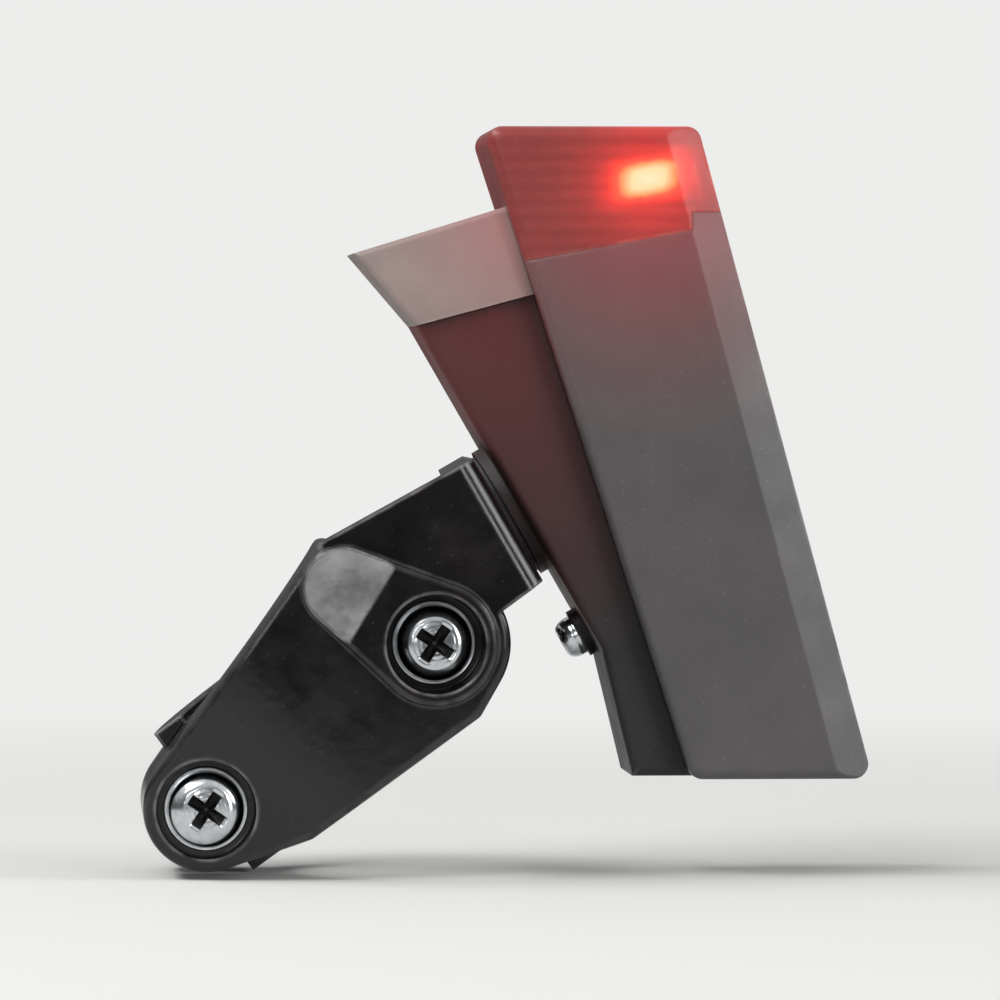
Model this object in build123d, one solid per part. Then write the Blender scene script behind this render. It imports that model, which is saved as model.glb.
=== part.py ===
from build123d import *
import os
from math import cos, radians, sin, tan

os.makedirs("parts", exist_ok=True)

# Directions. +X is rearward along the bicycle, +Z is up, +Y points inward to the wheel.
STAY_TILT = 36.0
FLANGE_TILT = 30.0
FRONT_LEAN = 17.9
REAR_LEAN = 15.1

# Tube that the clamp holds, and the rubber between them.
TUBE_D = 22.2
LINER_T = 0.9
LINER_L = 16.2
LINER_HALF_ANGLE = 60.0
BORE_GAP = 0.3
POCKET_GAP = 0.05

# Clamp shells. Heights are measured outboard from the tube's centre.
SCREW_OFF = 3.9
SPLIT_GAP = 1.6
EAR_R_FRONT = 6.7
EAR_R_REAR = 8.0
CLAMP_LOW = 9.1
CLAMP_HIGH = 15.9
CORNER_R = 1.5
CORNER_IN = 7.5
SHOULDER_X = 11.2
PLATE_OVER = 4.4
CROWN_R = 60.0
SEAT_UNDER = 5.0
BOSS_RISE = 1.2
BOSS_TOP_R = 4.3
BOSS_LOW_R = 6.6
BOSS_RAMP_L = 9.0
EDGE_R = 0.8

# Inner clamp shell.
ARCH_WALL = 3.6
INNER_EAR_H = 9.0
INNER_EAR_R = 7.0
INNER_HALF_L = 9.1
INNER_CORNER = 9.0
RIB_RISE = 1.2
RIB_T = 1.8

# Arm and flange that carry the lamp.
ARM_T = 3.6
FLANGE_REACH = 17.9
FLANGE_Y = 6.1
FLANGE_W = 15.0
FLANGE_T = 3.0
FLANGE_IN = 9.0
BEND_R = 2.2
GUSSET_T = 1.8
GUSSET_LEG = 3.6
SLOT_TRAVEL = 3.0
SPANNER_R = 5.2
SPANNER_DEPTH = 9.6

# Clamp fasteners, M4.
M4_R = 2.0
M4_HOLE_R = 2.15
M4_HEAD_R = 4.0
M4_HEAD_H = 3.1
M4_LENGTH = 20.0
WASHER_R = 4.5
WASHER_T = 0.8
COUNTERBORE_R = 5.3
NUT_AF = 7.0
NUT_T = 3.2
NUT_PLAY = 0.1
RECESS_R = 2.15
RECESS_D = 1.7

# Swivel between flange and lamp.
DISC_R = 7.0
DISC_T = 0.8
SWIVEL_BOSS_R = 7.5
POD_GAP = 2.0
NECK_FLAT = 4.0
NECK_CORNER_R = 0.5
SLOT_W = 4.1
SLOT_CORNER_R = 0.4
SWIVEL_FIT = 0.05
BOLT_TAIL = 7.9
BOLT_HEAD_R = 3.5
BOLT_HEAD_H = 2.6
COLLAR_R = 6.0
COLLAR_H = 4.4

# Lamp housing, measured from the swivel's centre on the flange.
LAMP_TOP = 41.8
LAMP_H = 69.6
LAMP_FRONT_X = -2.7
LAMP_TOP_W = 23.1
LAMP_OUT = 13.0
LAMP_IN = 11.0
WALL = 2.0
COVER_T = 2.5
SIDE_R = 1.6
FRONT_EDGE_R = 1.2
FACET_W = 3.6
FACET_DROP = 0.9
RIB_Z = -10.0
LENS_H = 14.4
SEAM_SLOPE = 10.6
SEAM_STEP_IN = 3.8
SEAM_STEP = 2.0

# Lens and seals.
LENS_WALL = 1.8
LIP_FIT = 0.1
LIP_T = 1.0
LIP_DEPTH = 2.5
RIM_H = 0.7
SEAL_IN = 0.6
SEAL_W = 0.8
SEAL_T = 0.6
FLUTES = 5
FLUTE_PITCH = 1.6
FLUTE_RISE = 0.45

# Cover screws and their bosses.
COVER_BOSS_R = 2.4
COVER_BOSS_IN = 4.8
COVER_BOSS_UNDER_SEAM = 5.4
COVER_BOSS_OVER_END = 8.2
COVER_HEAD_R = 2.1
COVER_HEAD_H = 1.3
COVER_SCREW_R = 1.1
COVER_SCREW_L = 9.0
COVER_HEAD_PLAY = 0.15
COVER_LIP = 2.0

# Pod, the wedge between the flange and the lamp housing.
POD_UP = 22.6
POD_DOWN = 17.4
POD_LOW_X = 13.7
POD_BOTTOM = -27.6
POD_HALF = 9.0
POD_WALL = 1.6
POD_EDGE_R = 1.0
POD_SEAM_SLOPE = 15.0
POD_SCREW_T = -15.2
POD_SCREW_R = 1.25
POD_SCREW_HEAD_R = 2.2
POD_SCREW_HEAD_H = 2.0
POD_SCREW_L = 11.0
POD_PAD_R = 2.7
POD_PAD_H = 1.0

# Light grey cap on the pod.
CAP_X = -16.2
CAP_Z = 28.3
CAP_SLOPE = 17.1
CAP_PROUD = 1.0
CAP_WALL = 1.6
CAP_LIP = 2.4

# Storage capacitor in the pod.
STORE_R = 3.8
STORE_L = 11.6
STORE_PLAY = 0.02
STORE_LOW = 7.0
STORE_SADDLES = (9.2, 16.0)
SADDLE_T = 1.4
STORE_LEAD_R = 0.35
LEAD_HOLE_Z = 19.3
LEAD_HOLE_H = 4.0
LEAD_HOLE_W = 4.4

# Circuit board and what it carries.
BOARD_H = 5.8
BOARD_T = 1.2
BOARD_FRONT_IN = 8.5
BOARD_PLAY = 0.5
BOARD_UNDER_TOP = 2.6
BOARD_OVER_END = 9.8
POST_R = 2.0
BOARD_SCREW_R = 0.9
BOARD_HEAD_R = 1.7
BOARD_HEAD_H = 1.2
BOARD_SCREW_L = 5.0
LED_IN = 6.9
LED_UNDER_TOP = 5.7
LED_W = 3.5
LED_D = 2.8
LED_T = 1.0
MOUTH_W = 7.7
MOUTH_D = 4.3
REFLECTOR_W = 8.5
REFLECTOR_D = 5.1
REFLECTOR_T = 3.3
WINDOW_T = 1.2
CHIP_W = 5.0
CHIP_D = 4.0
CHIP_T = 1.5
DIODE_W = 2.6
DIODE_D = 1.5
DIODE_T = 1.1

# Pick-up coil.
COIL_Z = 3.0
CORE_R = 2.6
BARREL_R = 3.5
COIL_PLAY = 0.75
BOBBIN_FLANGE = 1.0
WINDING_IN = 0.6
COIL_LEAD_R = 0.3

# Values that follow from the ones above.
tube_r = TUBE_D / 2
bore_r = tube_r + BORE_GAP
pocket_r = tube_r + LINER_T
half_span = tube_r + SCREW_OFF
split = SPLIT_GAP / 2
face_h = tube_r + PLATE_OVER
seat_h = face_h - SEAT_UNDER
flange_x = tube_r + FLANGE_REACH
cavity_low = COVER_T - LAMP_IN
cavity_high = LAMP_OUT - WALL
board_face = BOARD_H + BOARD_T
board_rear_in = WALL + LIP_FIT + LIP_T + BOARD_PLAY

# Clamp frame: x crosses the stay rearward, y runs up the stay, z is outboard.
across_stay = (cos(radians(STAY_TILT)), 0, sin(radians(STAY_TILT)))
stay_plane = Plane((0, 0, 0), x_dir=across_stay, z_dir=(0, -1, 0))
flange_mid = stay_plane.from_local_coords((flange_x, FLANGE_Y, 0))
swivel_dir = Vector(cos(radians(FLANGE_TILT)), 0, sin(radians(FLANGE_TILT)))
flange_up = Vector(-sin(radians(FLANGE_TILT)), 0, cos(radians(FLANGE_TILT)))
# Side view of the lamp from outboard, from the swivel's centre: x rearward, y up, z outboard.
side_plane = Plane(flange_mid, x_dir=(1, 0, 0), z_dir=(0, -1, 0))
# Swivel frame: x runs up the flange, y is outboard, z leaves the flange towards the lamp.
swivel_plane = Plane(flange_mid, x_dir=flange_up, z_dir=swivel_dir)


def save(name, *solids):
    """Write one or more solids as one node."""
    found = []
    for item in solids:
        found += item.solids()
    export_step(Compound(children=found) if len(found) > 1 else found[0], f"parts/{name}.step")


def slab(outline, low, high):
    """Extrude a sketch between two heights."""
    return extrude(Pos(0, 0, low) * outline, high - low)


def rod(radius, low, high, at=(0, 0)):
    """Round bar along the local z axis."""
    return slab(Pos(*at) * Circle(radius), low, high)


def slab_on(plane):
    """Large block that stands on a plane."""
    return plane.location * slab(Rectangle(300, 300), 0, 20)


def in_stay(item):
    return stay_plane.location * item


def in_side(item):
    return side_plane.location * item


def in_swivel(item):
    return swivel_plane.location * item


def hull(*circles):
    """Convex outline round circles given as x, y, radius."""
    edges = []
    for x, y, radius in circles:
        edges += (Pos(x, y) * Circle(radius)).edges()
    return make_hull(edges)


def polygon(*points):
    return make_face(Polyline(*points, close=True))


def along_tube(radius, half_length):
    """Round bar on the tube's axis."""
    return Rot(X=90) * Cylinder(radius, 2 * half_length)


def sector(half_angle, reach, side):
    """Wedge outline across the tube, seen along it, on the outboard (+1) or inboard (-1) side."""
    x = reach * sin(radians(half_angle))
    z = reach * cos(radians(half_angle)) * side
    face = Plane.XZ * polygon((0, 0), (x, z), (0, reach * side * 1.5), (-x, z))
    return extrude(face, 40, both=True)


# Clamp.

def screw_sites():
    return ((-half_span, 0), (half_span, 0))


def pan_screw(radius, length, head_r, head_h, recess_r, recess_d):
    """Screw with its seat at z = 0, its shank below and a domed head above, with a cross recess."""
    rim = head_h * 0.55
    profile = make_face(
        Curve()
        + Line((0, -length), (radius - 0.3, -length))
        + Line((radius - 0.3, -length), (radius, -length + 0.5))
        + Line((radius, -length + 0.5), (radius, 0))
        + Line((radius, 0), (head_r, 0))
        + Line((head_r, 0), (head_r, rim))
        + Line((head_r, rim), (head_r * 0.66, head_h))
        + Line((head_r * 0.66, head_h), (0, head_h))
        + Line((0, head_h), (0, -length))
    )
    body = revolve(Plane.XZ * profile, Axis.Z)
    arm = recess_r * 0.5
    cross = Rectangle(2 * recess_r, arm) + Rectangle(arm, 2 * recess_r)
    return body - slab(Rot(Z=20) * cross, head_h - recess_d, head_h + 1)


def washer(outer, inner, low, high):
    return slab(Circle(outer) - Circle(inner), low, high)


def liner(side):
    """Half of the rubber that grips the tube, with shallow grooves across its grip face."""
    ring = along_tube(pocket_r - POCKET_GAP, LINER_L / 2) - along_tube(tube_r, LINER_L)
    pad = ring & sector(LINER_HALF_ANGLE, 20, side)
    for step in range(-2, 3):
        groove = along_tube(tube_r + 0.3, 0.5) - along_tube(tube_r - 1, 2)
        pad -= Pos(0, step * 2.8, 0) * groove
    return pad


def pocket(side):
    """Space in a shell for its liner half."""
    return along_tube(pocket_r, LINER_L / 2 + POCKET_GAP) & sector(LINER_HALF_ANGLE + 0.4, 20, side)


def clamp_outline():
    top = CLAMP_HIGH - CORNER_R
    low = CORNER_R - CLAMP_LOW
    return hull(
        (-half_span, 0, EAR_R_FRONT),
        (half_span, 0, EAR_R_REAR),
        (-CORNER_IN, low, CORNER_R),
        (half_span - 1, low, CORNER_R),
        (SHOULDER_X, top, CORNER_R),
    )


def crown():
    """Space under the gently curved outboard face."""
    reach = 30.0
    drop = CROWN_R - (CROWN_R ** 2 - reach ** 2) ** 0.5
    half = reach / 2
    half_drop = CROWN_R - (CROWN_R ** 2 - half ** 2) ** 0.5
    face = make_face(
        Curve()
        + ThreePointArc((-reach, face_h - drop), (-half, face_h - half_drop), (0, face_h))
        + Line((0, face_h), (45, face_h))
        + Line((45, face_h), (45, -30))
        + Line((45, -30), (-reach, -30))
        + Line((-reach, -30), (-reach, face_h - drop))
    )
    return extrude(Plane.XZ * face, 40, both=True)


def flange_corner(across, up):
    """Point of the flange in the clamp's outline plane."""
    point = stay_plane.to_local_coords(flange_mid + swivel_dir * across + flange_up * up)
    return (point.X, point.Y)


def spanner_room():
    """Space behind the flange that the swivel's nut and its spanner need over the slot's travel."""
    round_end = 2 * SPANNER_R
    return slab(SlotOverall(2 * SLOT_TRAVEL + round_end, round_end, rotation=90), -SPANNER_DEPTH, -FLANGE_T)


def clamp_outer():
    body = slab(clamp_outline(), split, face_h + 1) & crown()
    rim = body.edges().filter_by(lambda e: e.center().Z > seat_h and abs(e.tangent_at(0.5).Z) < 0.7)
    body = fillet(rim, EDGE_R)
    half = FLANGE_W / 2
    arm = polygon(
        (half_span, -1.4),
        flange_corner(0, -half),
        flange_corner(0, half),
        (SHOULDER_X, CLAMP_HIGH),
        (SHOULDER_X, 4),
    )
    body += slab(arm, face_h - ARM_T, face_h)
    flange = polygon(
        flange_corner(0, -half),
        flange_corner(0, half),
        flange_corner(-FLANGE_T, half),
        flange_corner(-FLANGE_T, -half),
    )
    plate = slab(flange, -FLANGE_IN, face_h)
    ends = plate.edges().filter_by(
        lambda e: abs(e.center().Z + FLANGE_IN) < 0.01 and e.length < FLANGE_T + 0.1
    )
    body += fillet(ends, 3.0)
    # Outside of the bend between arm and flange.
    corner = body.edges().filter_by(
        lambda e: abs(e.center().Z - face_h) < 0.01
        and e.center().X > flange_x - 2
        and abs(e.length - FLANGE_W) < 0.5
    )
    body = fillet(corner, BEND_R)
    # Gussets under the arm.
    under = face_h - ARM_T
    for up in (-half + GUSSET_T / 2, half - GUSSET_T / 2):
        face = polygon((0.2, 0.2), (-GUSSET_LEG, 0.2), (0.2, -GUSSET_LEG))
        gusset = extrude(Plane.XZ * face, GUSSET_T / 2, both=True)
        root = flange_corner(-FLANGE_T, up)
        body += Pos(root[0], root[1], under) * Rot(Z=FLANGE_TILT - STAY_TILT) * gusset
    top = Vector(SHOULDER_X - 0.6, CLAMP_HIGH - 5.3, 0)
    boss = hull((top.X, top.Y, BOSS_TOP_R), (half_span, 0, BOSS_LOW_R))
    raised = slab(boss, under, face_h + BOSS_RISE)
    rim = raised.edges().filter_by(lambda e: abs(e.center().Z - face_h - BOSS_RISE) < 0.01)
    # The boss ends in a ramp towards the upper edge.
    along = (top - Vector(half_span, 0, 0)).normalized()
    ramp_end = top + along * BOSS_TOP_R + Vector(0, 0, face_h + 0.15)
    ramp = Plane(ramp_end, x_dir=(-along.Y, along.X, 0), z_dir=along * BOSS_RISE + Vector(0, 0, BOSS_RAMP_L))
    body += fillet(rim, 0.5) - slab_on(ramp)
    body -= along_tube(bore_r, 40)
    body -= pocket(1)
    for site in screw_sites():
        body -= rod(M4_HOLE_R, -5, 40, site)
        body -= rod(COUNTERBORE_R, seat_h, 40, site)
    slot = RectangleRounded(SLOT_W, 2 * SLOT_TRAVEL + NECK_FLAT + 0.4, SLOT_CORNER_R)
    cut = slab(slot, -FLANGE_T - 1, 1)
    return in_stay(body) - in_swivel(cut) - in_swivel(spanner_room())


def clamp_inner():
    """Wheel side of the clamp: an arch with two ears, two stiffening ribs and nut pockets."""
    ears = hull(
        (-half_span, 0, EAR_R_FRONT),
        (half_span, 0, INNER_EAR_R),
        (-INNER_CORNER, INNER_HALF_L - CORNER_R, CORNER_R),
        (INNER_CORNER, INNER_HALF_L - CORNER_R, CORNER_R),
        (-INNER_CORNER, CORNER_R - INNER_HALF_L, CORNER_R),
        (INNER_CORNER, CORNER_R - INNER_HALF_L, CORNER_R),
    )
    body = slab(ears, -INNER_EAR_H, -split)
    arch = along_tube(bore_r + ARCH_WALL, INNER_HALF_L)
    for y in (-5.4, 5.4):
        arch += Pos(0, y, 0) * along_tube(bore_r + ARCH_WALL + RIB_RISE, RIB_T / 2)
    body += arch & slab(Rectangle(2 * bore_r + 2 * ARCH_WALL + 2, 40), -40, -split)
    body -= along_tube(bore_r, 40)
    body -= pocket(-1)
    for site in screw_sites():
        body -= rod(M4_HOLE_R, -40, 5, site)
        key = RegularPolygon((NUT_AF + NUT_PLAY) / 2, 6, major_radius=False)
        body -= Pos(*site) * slab(key, -INNER_EAR_H - 15, NUT_T + 0.4 - INNER_EAR_H)
    return in_stay(body) - in_swivel(spanner_room())


def hex_nut(low):
    key = RegularPolygon(NUT_AF / 2, 6, major_radius=False) - Circle(M4_R + SWIVEL_FIT)
    return slab(key, low, low + NUT_T)


def clamp():
    save("clamp_outer_shell", clamp_outer())
    save("clamp_inner_shell", clamp_inner())
    save("liner_outer", in_stay(liner(1)))
    save("liner_inner", in_stay(liner(-1)))
    screws = []
    washers = []
    nuts = []
    for site in screw_sites():
        screw = pan_screw(M4_R, M4_LENGTH, M4_HEAD_R, M4_HEAD_H, RECESS_R, RECESS_D)
        screws.append(in_stay(Pos(*site, seat_h + WASHER_T) * screw))
        washers.append(in_stay(Pos(*site) * washer(WASHER_R, M4_R + SWIVEL_FIT, seat_h, seat_h + WASHER_T)))
        nuts.append(in_stay(Pos(*site) * hex_nut(0.4 - INNER_EAR_H)))
    save("clamp_screws", *screws)
    save("clamp_washers", *washers)
    save("clamp_nuts", *nuts)


# Swivel.

def swivel():
    """Bolt, disc, washer and nut that slide in the flange's slot and that the lamp turns on."""
    head_low = POD_GAP + POD_WALL
    bolt = rod(M4_R, -BOLT_TAIL, head_low)
    neck = slab(RectangleRounded(NECK_FLAT, NECK_FLAT, NECK_CORNER_R), -FLANGE_T + 0.2, -0.1)
    head = rod(BOLT_HEAD_R, head_low, head_low + BOLT_HEAD_H)
    top = head.edges().filter_by(lambda e: abs(e.center().Z - head_low - BOLT_HEAD_H) < 0.01)
    bolt = bolt + neck + chamfer(top, 0.4)
    tip = bolt.edges().filter_by(lambda e: abs(e.center().Z + BOLT_TAIL) < 0.01)
    save("swivel_bolt", in_swivel(chamfer(tip, 0.3)))
    disc = washer(DISC_R, M4_R + SWIVEL_FIT, 0, DISC_T)
    for k in range(12):
        notch = Pos(0, 0, DISC_T) * Rot(Z=30 * k) * Pos(5.4, 0, 0) * Box(2.4, 0.5, 0.4)
        disc -= notch
    save("friction_disc", in_swivel(disc))
    save("swivel_washer", in_swivel(washer(WASHER_R, M4_R + SWIVEL_FIT, -FLANGE_T - WASHER_T, -FLANGE_T)))
    save("swivel_nut", in_swivel(hex_nut(-FLANGE_T - WASHER_T - NUT_T)))


# Lamp.

def front_x(z):
    """The lamp housing's front edge at a height."""
    return LAMP_FRONT_X + (LAMP_TOP - z) * tan(radians(FRONT_LEAN))


def rear_x(z):
    return LAMP_FRONT_X + LAMP_TOP_W + (LAMP_TOP - z) * tan(radians(REAR_LEAN))


lamp_end = LAMP_TOP - LAMP_H
seam_z = LAMP_TOP - LENS_H
step_x = rear_x(seam_z + 3) - SEAM_STEP_IN
board_top = LAMP_TOP - BOARD_UNDER_TOP
board_end = lamp_end + BOARD_OVER_END
led_z = LAMP_TOP - LED_UNDER_TOP
led_x = rear_x(led_z) - LED_IN
coil_x = (front_x(COIL_Z) + rear_x(COIL_Z)) / 2
coil_room = (rear_x(COIL_Z) - front_x(COIL_Z)) / 2 * cos(radians(FRONT_LEAN))
bobbin_r = coil_room - WALL - COIL_PLAY
winding_r = bobbin_r - WINDING_IN


def cover_sites():
    sites = []
    for z in (seam_z - COVER_BOSS_UNDER_SEAM, lamp_end + COVER_BOSS_OVER_END):
        sites.append((front_x(z) + COVER_BOSS_IN, z))
    return sites


def board_middle(z):
    return (front_x(z) + BOARD_FRONT_IN + rear_x(z) - board_rear_in) / 2


def post_sites():
    return [(board_middle(z), z) for z in (board_top - 16.7, board_end + 4.0)]


def lamp_outline():
    outline = polygon(
        (front_x(LAMP_TOP), LAMP_TOP),
        (rear_x(LAMP_TOP), LAMP_TOP),
        (rear_x(lamp_end), lamp_end),
        (front_x(lamp_end), lamp_end),
    )
    return fillet(outline.vertices(), SIDE_R)


def inset(outline, amount):
    return offset(outline, -amount, kind=Kind.INTERSECTION)


def facet():
    """Space over the flat that slopes away along the rear of the outboard face."""
    rear = Vector(cos(radians(REAR_LEAN)), sin(radians(REAR_LEAN)), 0)
    start = Vector(rear_x(0), 0, LAMP_OUT) - rear * FACET_W
    away = rear * FACET_DROP + Vector(0, 0, FACET_W)
    return slab_on(Plane(start, x_dir=(-rear.Y, rear.X, 0), z_dir=away))


def lamp_block():
    """Whole outer form of the lamp head, with its softened outboard and inboard edges."""
    block = slab(lamp_outline(), -LAMP_IN, LAMP_OUT)
    rim = block.edges().filter_by(lambda e: abs(e.center().Z - LAMP_OUT) < 0.01)
    block = fillet(rim, FRONT_EDGE_R)
    rim = block.edges().filter_by(lambda e: abs(e.center().Z + LAMP_IN) < 0.01)
    return fillet(rim, 0.8) - facet()


def lamp_shrunk(amount):
    """The lamp's form made smaller by an amount on every side."""
    return slab(inset(lamp_outline(), amount), amount - LAMP_IN, LAMP_OUT - amount)


def cavity(less):
    """Inside of the housing, smaller by an amount."""
    return slab(inset(lamp_outline(), WALL + less), cavity_low + less, cavity_high - less)


def seam_height(x):
    return seam_z + (x - front_x(seam_z)) * tan(radians(SEAM_SLOPE))


def above_seam(shift):
    """Everything above the line between housing and lens, moved up or down."""
    step = step_x - shift
    area = polygon(
        (-40, seam_height(-40) + shift),
        (step, seam_height(step) + shift),
        (step, seam_height(step_x) + SEAM_STEP + shift),
        (80, seam_height(step_x) + SEAM_STEP + shift),
        (80, 100),
        (-40, 100),
    )
    return slab(area, -40, 40)


def lens_seal():
    ring = lamp_shrunk(SEAL_IN) - lamp_shrunk(SEAL_IN + SEAL_W)
    ring -= Pos(0, 0, -SEAL_IN / 2) * facet()
    return ring & (above_seam(-SEAL_T) - above_seam(0))


def cover_seal():
    ring = inset(lamp_outline(), SEAL_IN) - inset(lamp_outline(), SEAL_IN + SEAL_W)
    return slab(ring, cavity_low, cavity_low + SEAL_T) - above_seam(-SEAL_T - 0.4)


def lens(block):
    """Red cap with a rim, a lip into the housing and level flutes on its inside."""
    inside = slab(inset(lamp_outline(), LENS_WALL), LENS_WALL - LAMP_IN, LAMP_OUT - LENS_WALL)
    body = (block - inside) & above_seam(0)
    rim = (block - cavity(LIP_FIT + LIP_T)) & (above_seam(0) - above_seam(RIM_H))
    lip = (cavity(LIP_FIT) - cavity(LIP_FIT + LIP_T)) & (above_seam(-LIP_DEPTH) - above_seam(0))
    body = body + rim + lip
    # Flutes run from the front wall to the window.
    for k in range(FLUTES):
        z = LAMP_TOP - 3.4 - k * FLUTE_PITCH
        x = front_x(z) + 1.0
        outline = polygon((-0.55, 0.05), (0.55, 0.05), (0, -FLUTE_RISE))
        rib = extrude(Plane.YZ * outline, led_x - REFLECTOR_W / 2 - 0.8 - x)
        body += Pos(x, z, LAMP_OUT - LENS_WALL) * rib
    return body


def housing(block, seal_a, seal_b):
    body = block - above_seam(0) - cavity(0)
    body -= slab(Rectangle(300, 300), -40, cavity_low)
    for site in cover_sites():
        body += rod(COVER_BOSS_R, cavity_low, LAMP_OUT - 1, site) - above_seam(0)
    for site in post_sites():
        body += rod(POST_R, board_face, LAMP_OUT - 1, site)
    # Block inside the front wall that the pod's screw bites into.
    grip = in_swivel(rod(POD_PAD_R, 4, 14.2, (POD_SCREW_T, 0)))
    grip = side_plane.location.inverse() * grip
    body += grip & slab(inset(lamp_outline(), 0.5), -10, 10)
    # Rib across the outboard wall.
    low = (front_x(RIB_Z) + 1, RIB_Z)
    high = (rear_x(RIB_Z) - 1, RIB_Z + 4.5)
    area = polygon(low, high, (high[0], high[1] + 1), (low[0], low[1] + 1))
    rib = slab(area, cavity_high - 0.8, cavity_high + 0.5)
    body += rib & slab(inset(lamp_outline(), 0.5), 0, 20)
    for site in cover_sites():
        body -= rod(COVER_SCREW_R, -20, cavity_low + COVER_SCREW_L, site)
    for site in post_sites():
        body -= rod(BOARD_SCREW_R, 0, board_face + BOARD_SCREW_L - BOARD_T, site)
    body -= seal_a
    body -= seal_b
    # Way through the front wall for the capacitor's leads.
    hole = Pos(front_x(LEAD_HOLE_Z), LEAD_HOLE_Z, 0) * Box(8, LEAD_HOLE_H, LEAD_HOLE_W)
    body -= hole
    screw = in_swivel(rod(POD_SCREW_R, -5, POD_PAD_H + POD_SCREW_L, (POD_SCREW_T, 0)))
    body -= side_plane.location.inverse() * screw
    return body


def back_cover(block, seal_a):
    """Wheel side of the housing: a plate with a lip, a stiffening cross and screw recesses."""
    body = block & slab(Rectangle(300, 300), -40, cavity_low)
    body -= above_seam(0)
    ring = inset(lamp_outline(), WALL + LIP_FIT) - inset(lamp_outline(), WALL + LIP_FIT + LIP_T)
    lip = slab(ring, cavity_low, cavity_low + COVER_LIP)
    lip -= above_seam(-LIP_DEPTH - 0.5)
    for site in cover_sites():
        lip -= rod(COVER_BOSS_R + 0.2, -20, 20, site)
    lip -= rod(bobbin_r + 0.3, -20, 20, (coil_x, COIL_Z))
    grip = side_plane.location.inverse() * in_swivel(rod(POD_PAD_R + 0.3, 0, 20, (POD_SCREW_T, 0)))
    body = body + lip - grip
    for site in cover_sites():
        body -= rod(COVER_SCREW_R + 0.1, -20, 0, site)
        body -= rod(COVER_HEAD_R + COVER_HEAD_PLAY, -LAMP_IN - 5, COVER_HEAD_H + 0.2 - LAMP_IN, site)
    return body - seal_a


def cover_screw():
    """Seat at z = 0 with the head below, for a screw driven outboard."""
    return Rot(X=180) * pan_screw(COVER_SCREW_R, COVER_SCREW_L, COVER_HEAD_R, COVER_HEAD_H, 1.15, 0.7)


def board_outline():
    return polygon(
        (front_x(board_top) + BOARD_FRONT_IN, board_top),
        (rear_x(board_top) - board_rear_in, board_top),
        (rear_x(board_end) - board_rear_in, board_end),
        (front_x(board_end) + BOARD_FRONT_IN, board_end),
    )


def reflector():
    """White frame whose opening widens from the LED to the window."""
    body = slab(Rectangle(REFLECTOR_W, REFLECTOR_D), 0, REFLECTOR_T)
    low = Rectangle(LED_W + 0.2, LED_D + 0.2)
    high = Pos(0, 0, REFLECTOR_T - WINDOW_T) * Rectangle(MOUTH_W - 1.2, MOUTH_D - 1.0)
    body -= loft(Sketch() + [low, high])
    body -= slab(Rectangle(MOUTH_W, MOUTH_D), REFLECTOR_T - WINDOW_T, REFLECTOR_T + 1)
    return body


def board_slab():
    return slab(board_outline(), BOARD_H, board_face)


def electronics():
    board = board_slab()
    screws = []
    for site in post_sites():
        board -= rod(BOARD_SCREW_R + 0.1, 0, 20, site)
        screw = Rot(X=180) * pan_screw(BOARD_SCREW_R, BOARD_SCREW_L, BOARD_HEAD_R, BOARD_HEAD_H, 0.9, 0.6)
        screws.append(in_side(Pos(*site, BOARD_H) * screw))
    save("circuit_board", in_side(board))
    save("board_screws", *screws)
    led = slab(Rectangle(LED_W, LED_D), 0, LED_T * 0.7) + slab(Circle(1.15), LED_T * 0.7, LED_T)
    save("led", in_side(Pos(led_x, led_z, board_face) * led))
    save("reflector", in_side(Pos(led_x, led_z, board_face) * reflector()))
    window = slab(Rectangle(MOUTH_W, MOUTH_D), REFLECTOR_T - WINDOW_T, REFLECTOR_T + 0.25)
    top = window.edges().filter_by(lambda e: abs(e.center().Z - REFLECTOR_T - 0.25) < 0.01)
    save("light_window", in_side(Pos(led_x, led_z, board_face) * chamfer(top, 0.2)))
    chip = slab(Rectangle(CHIP_W, CHIP_D), 0.2, CHIP_T)
    for k in range(4):
        for side in (-1, 1):
            leg = Box(0.4, 1.0, 0.4, align=(Align.CENTER, Align.CENTER, Align.MIN))
            chip += Pos(-1.8 + 1.2 * k, side * (CHIP_D / 2 + 0.3), 0) * leg
    save("controller_chip", in_side(Pos(board_middle(6.0) + 1.0, 6.0, board_face) * chip))
    diodes = []
    for k in range(4):
        diode = slab(Rectangle(DIODE_W, DIODE_D), 0, DIODE_T)
        z = -2.0 - 2.3 * k
        diodes.append(in_side(Pos(board_middle(z), z, board_face) * diode))
    save("rectifier_diodes", *diodes)


def coil():
    """Pick-up coil with its axis towards the wheel."""
    low = cavity_low
    high = BOARD_H
    centre = Pos(coil_x, COIL_Z)
    bobbin = rod(BARREL_R, low, high)
    bobbin += rod(bobbin_r, low, low + BOBBIN_FLANGE)
    bobbin += rod(bobbin_r, high - BOBBIN_FLANGE, high)
    bobbin -= rod(CORE_R, low - 1, high + 1)
    save("coil_bobbin", in_side(centre * bobbin))
    winding = washer(winding_r, BARREL_R, low + BOBBIN_FLANGE, high - BOBBIN_FLANGE)
    save("coil_winding", in_side(centre * winding))
    save("iron_core", in_side(centre * rod(CORE_R, low, high)))
    leads = []
    for side in (-1, 1):
        start = (coil_x + 1.6 + side * 1.6, COIL_Z - winding_r + 0.8, 3.0)
        middle = (coil_x + 1.6 + side * 1.6, COIL_Z - bobbin_r - 1.2, 3.0)
        end = (coil_x + 1.6 + side * 1.6, COIL_Z - bobbin_r - 1.2, BOARD_H + 1)
        path = Polyline(start, middle, end)
        circle = Plane(path @ 0, z_dir=path % 0) * Circle(COIL_LEAD_R)
        wire = sweep(circle, path, transition=Transition.RIGHT)
        leads.append(in_side(wire - centre * winding - board_slab()))
    save("coil_leads", *leads)


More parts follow.
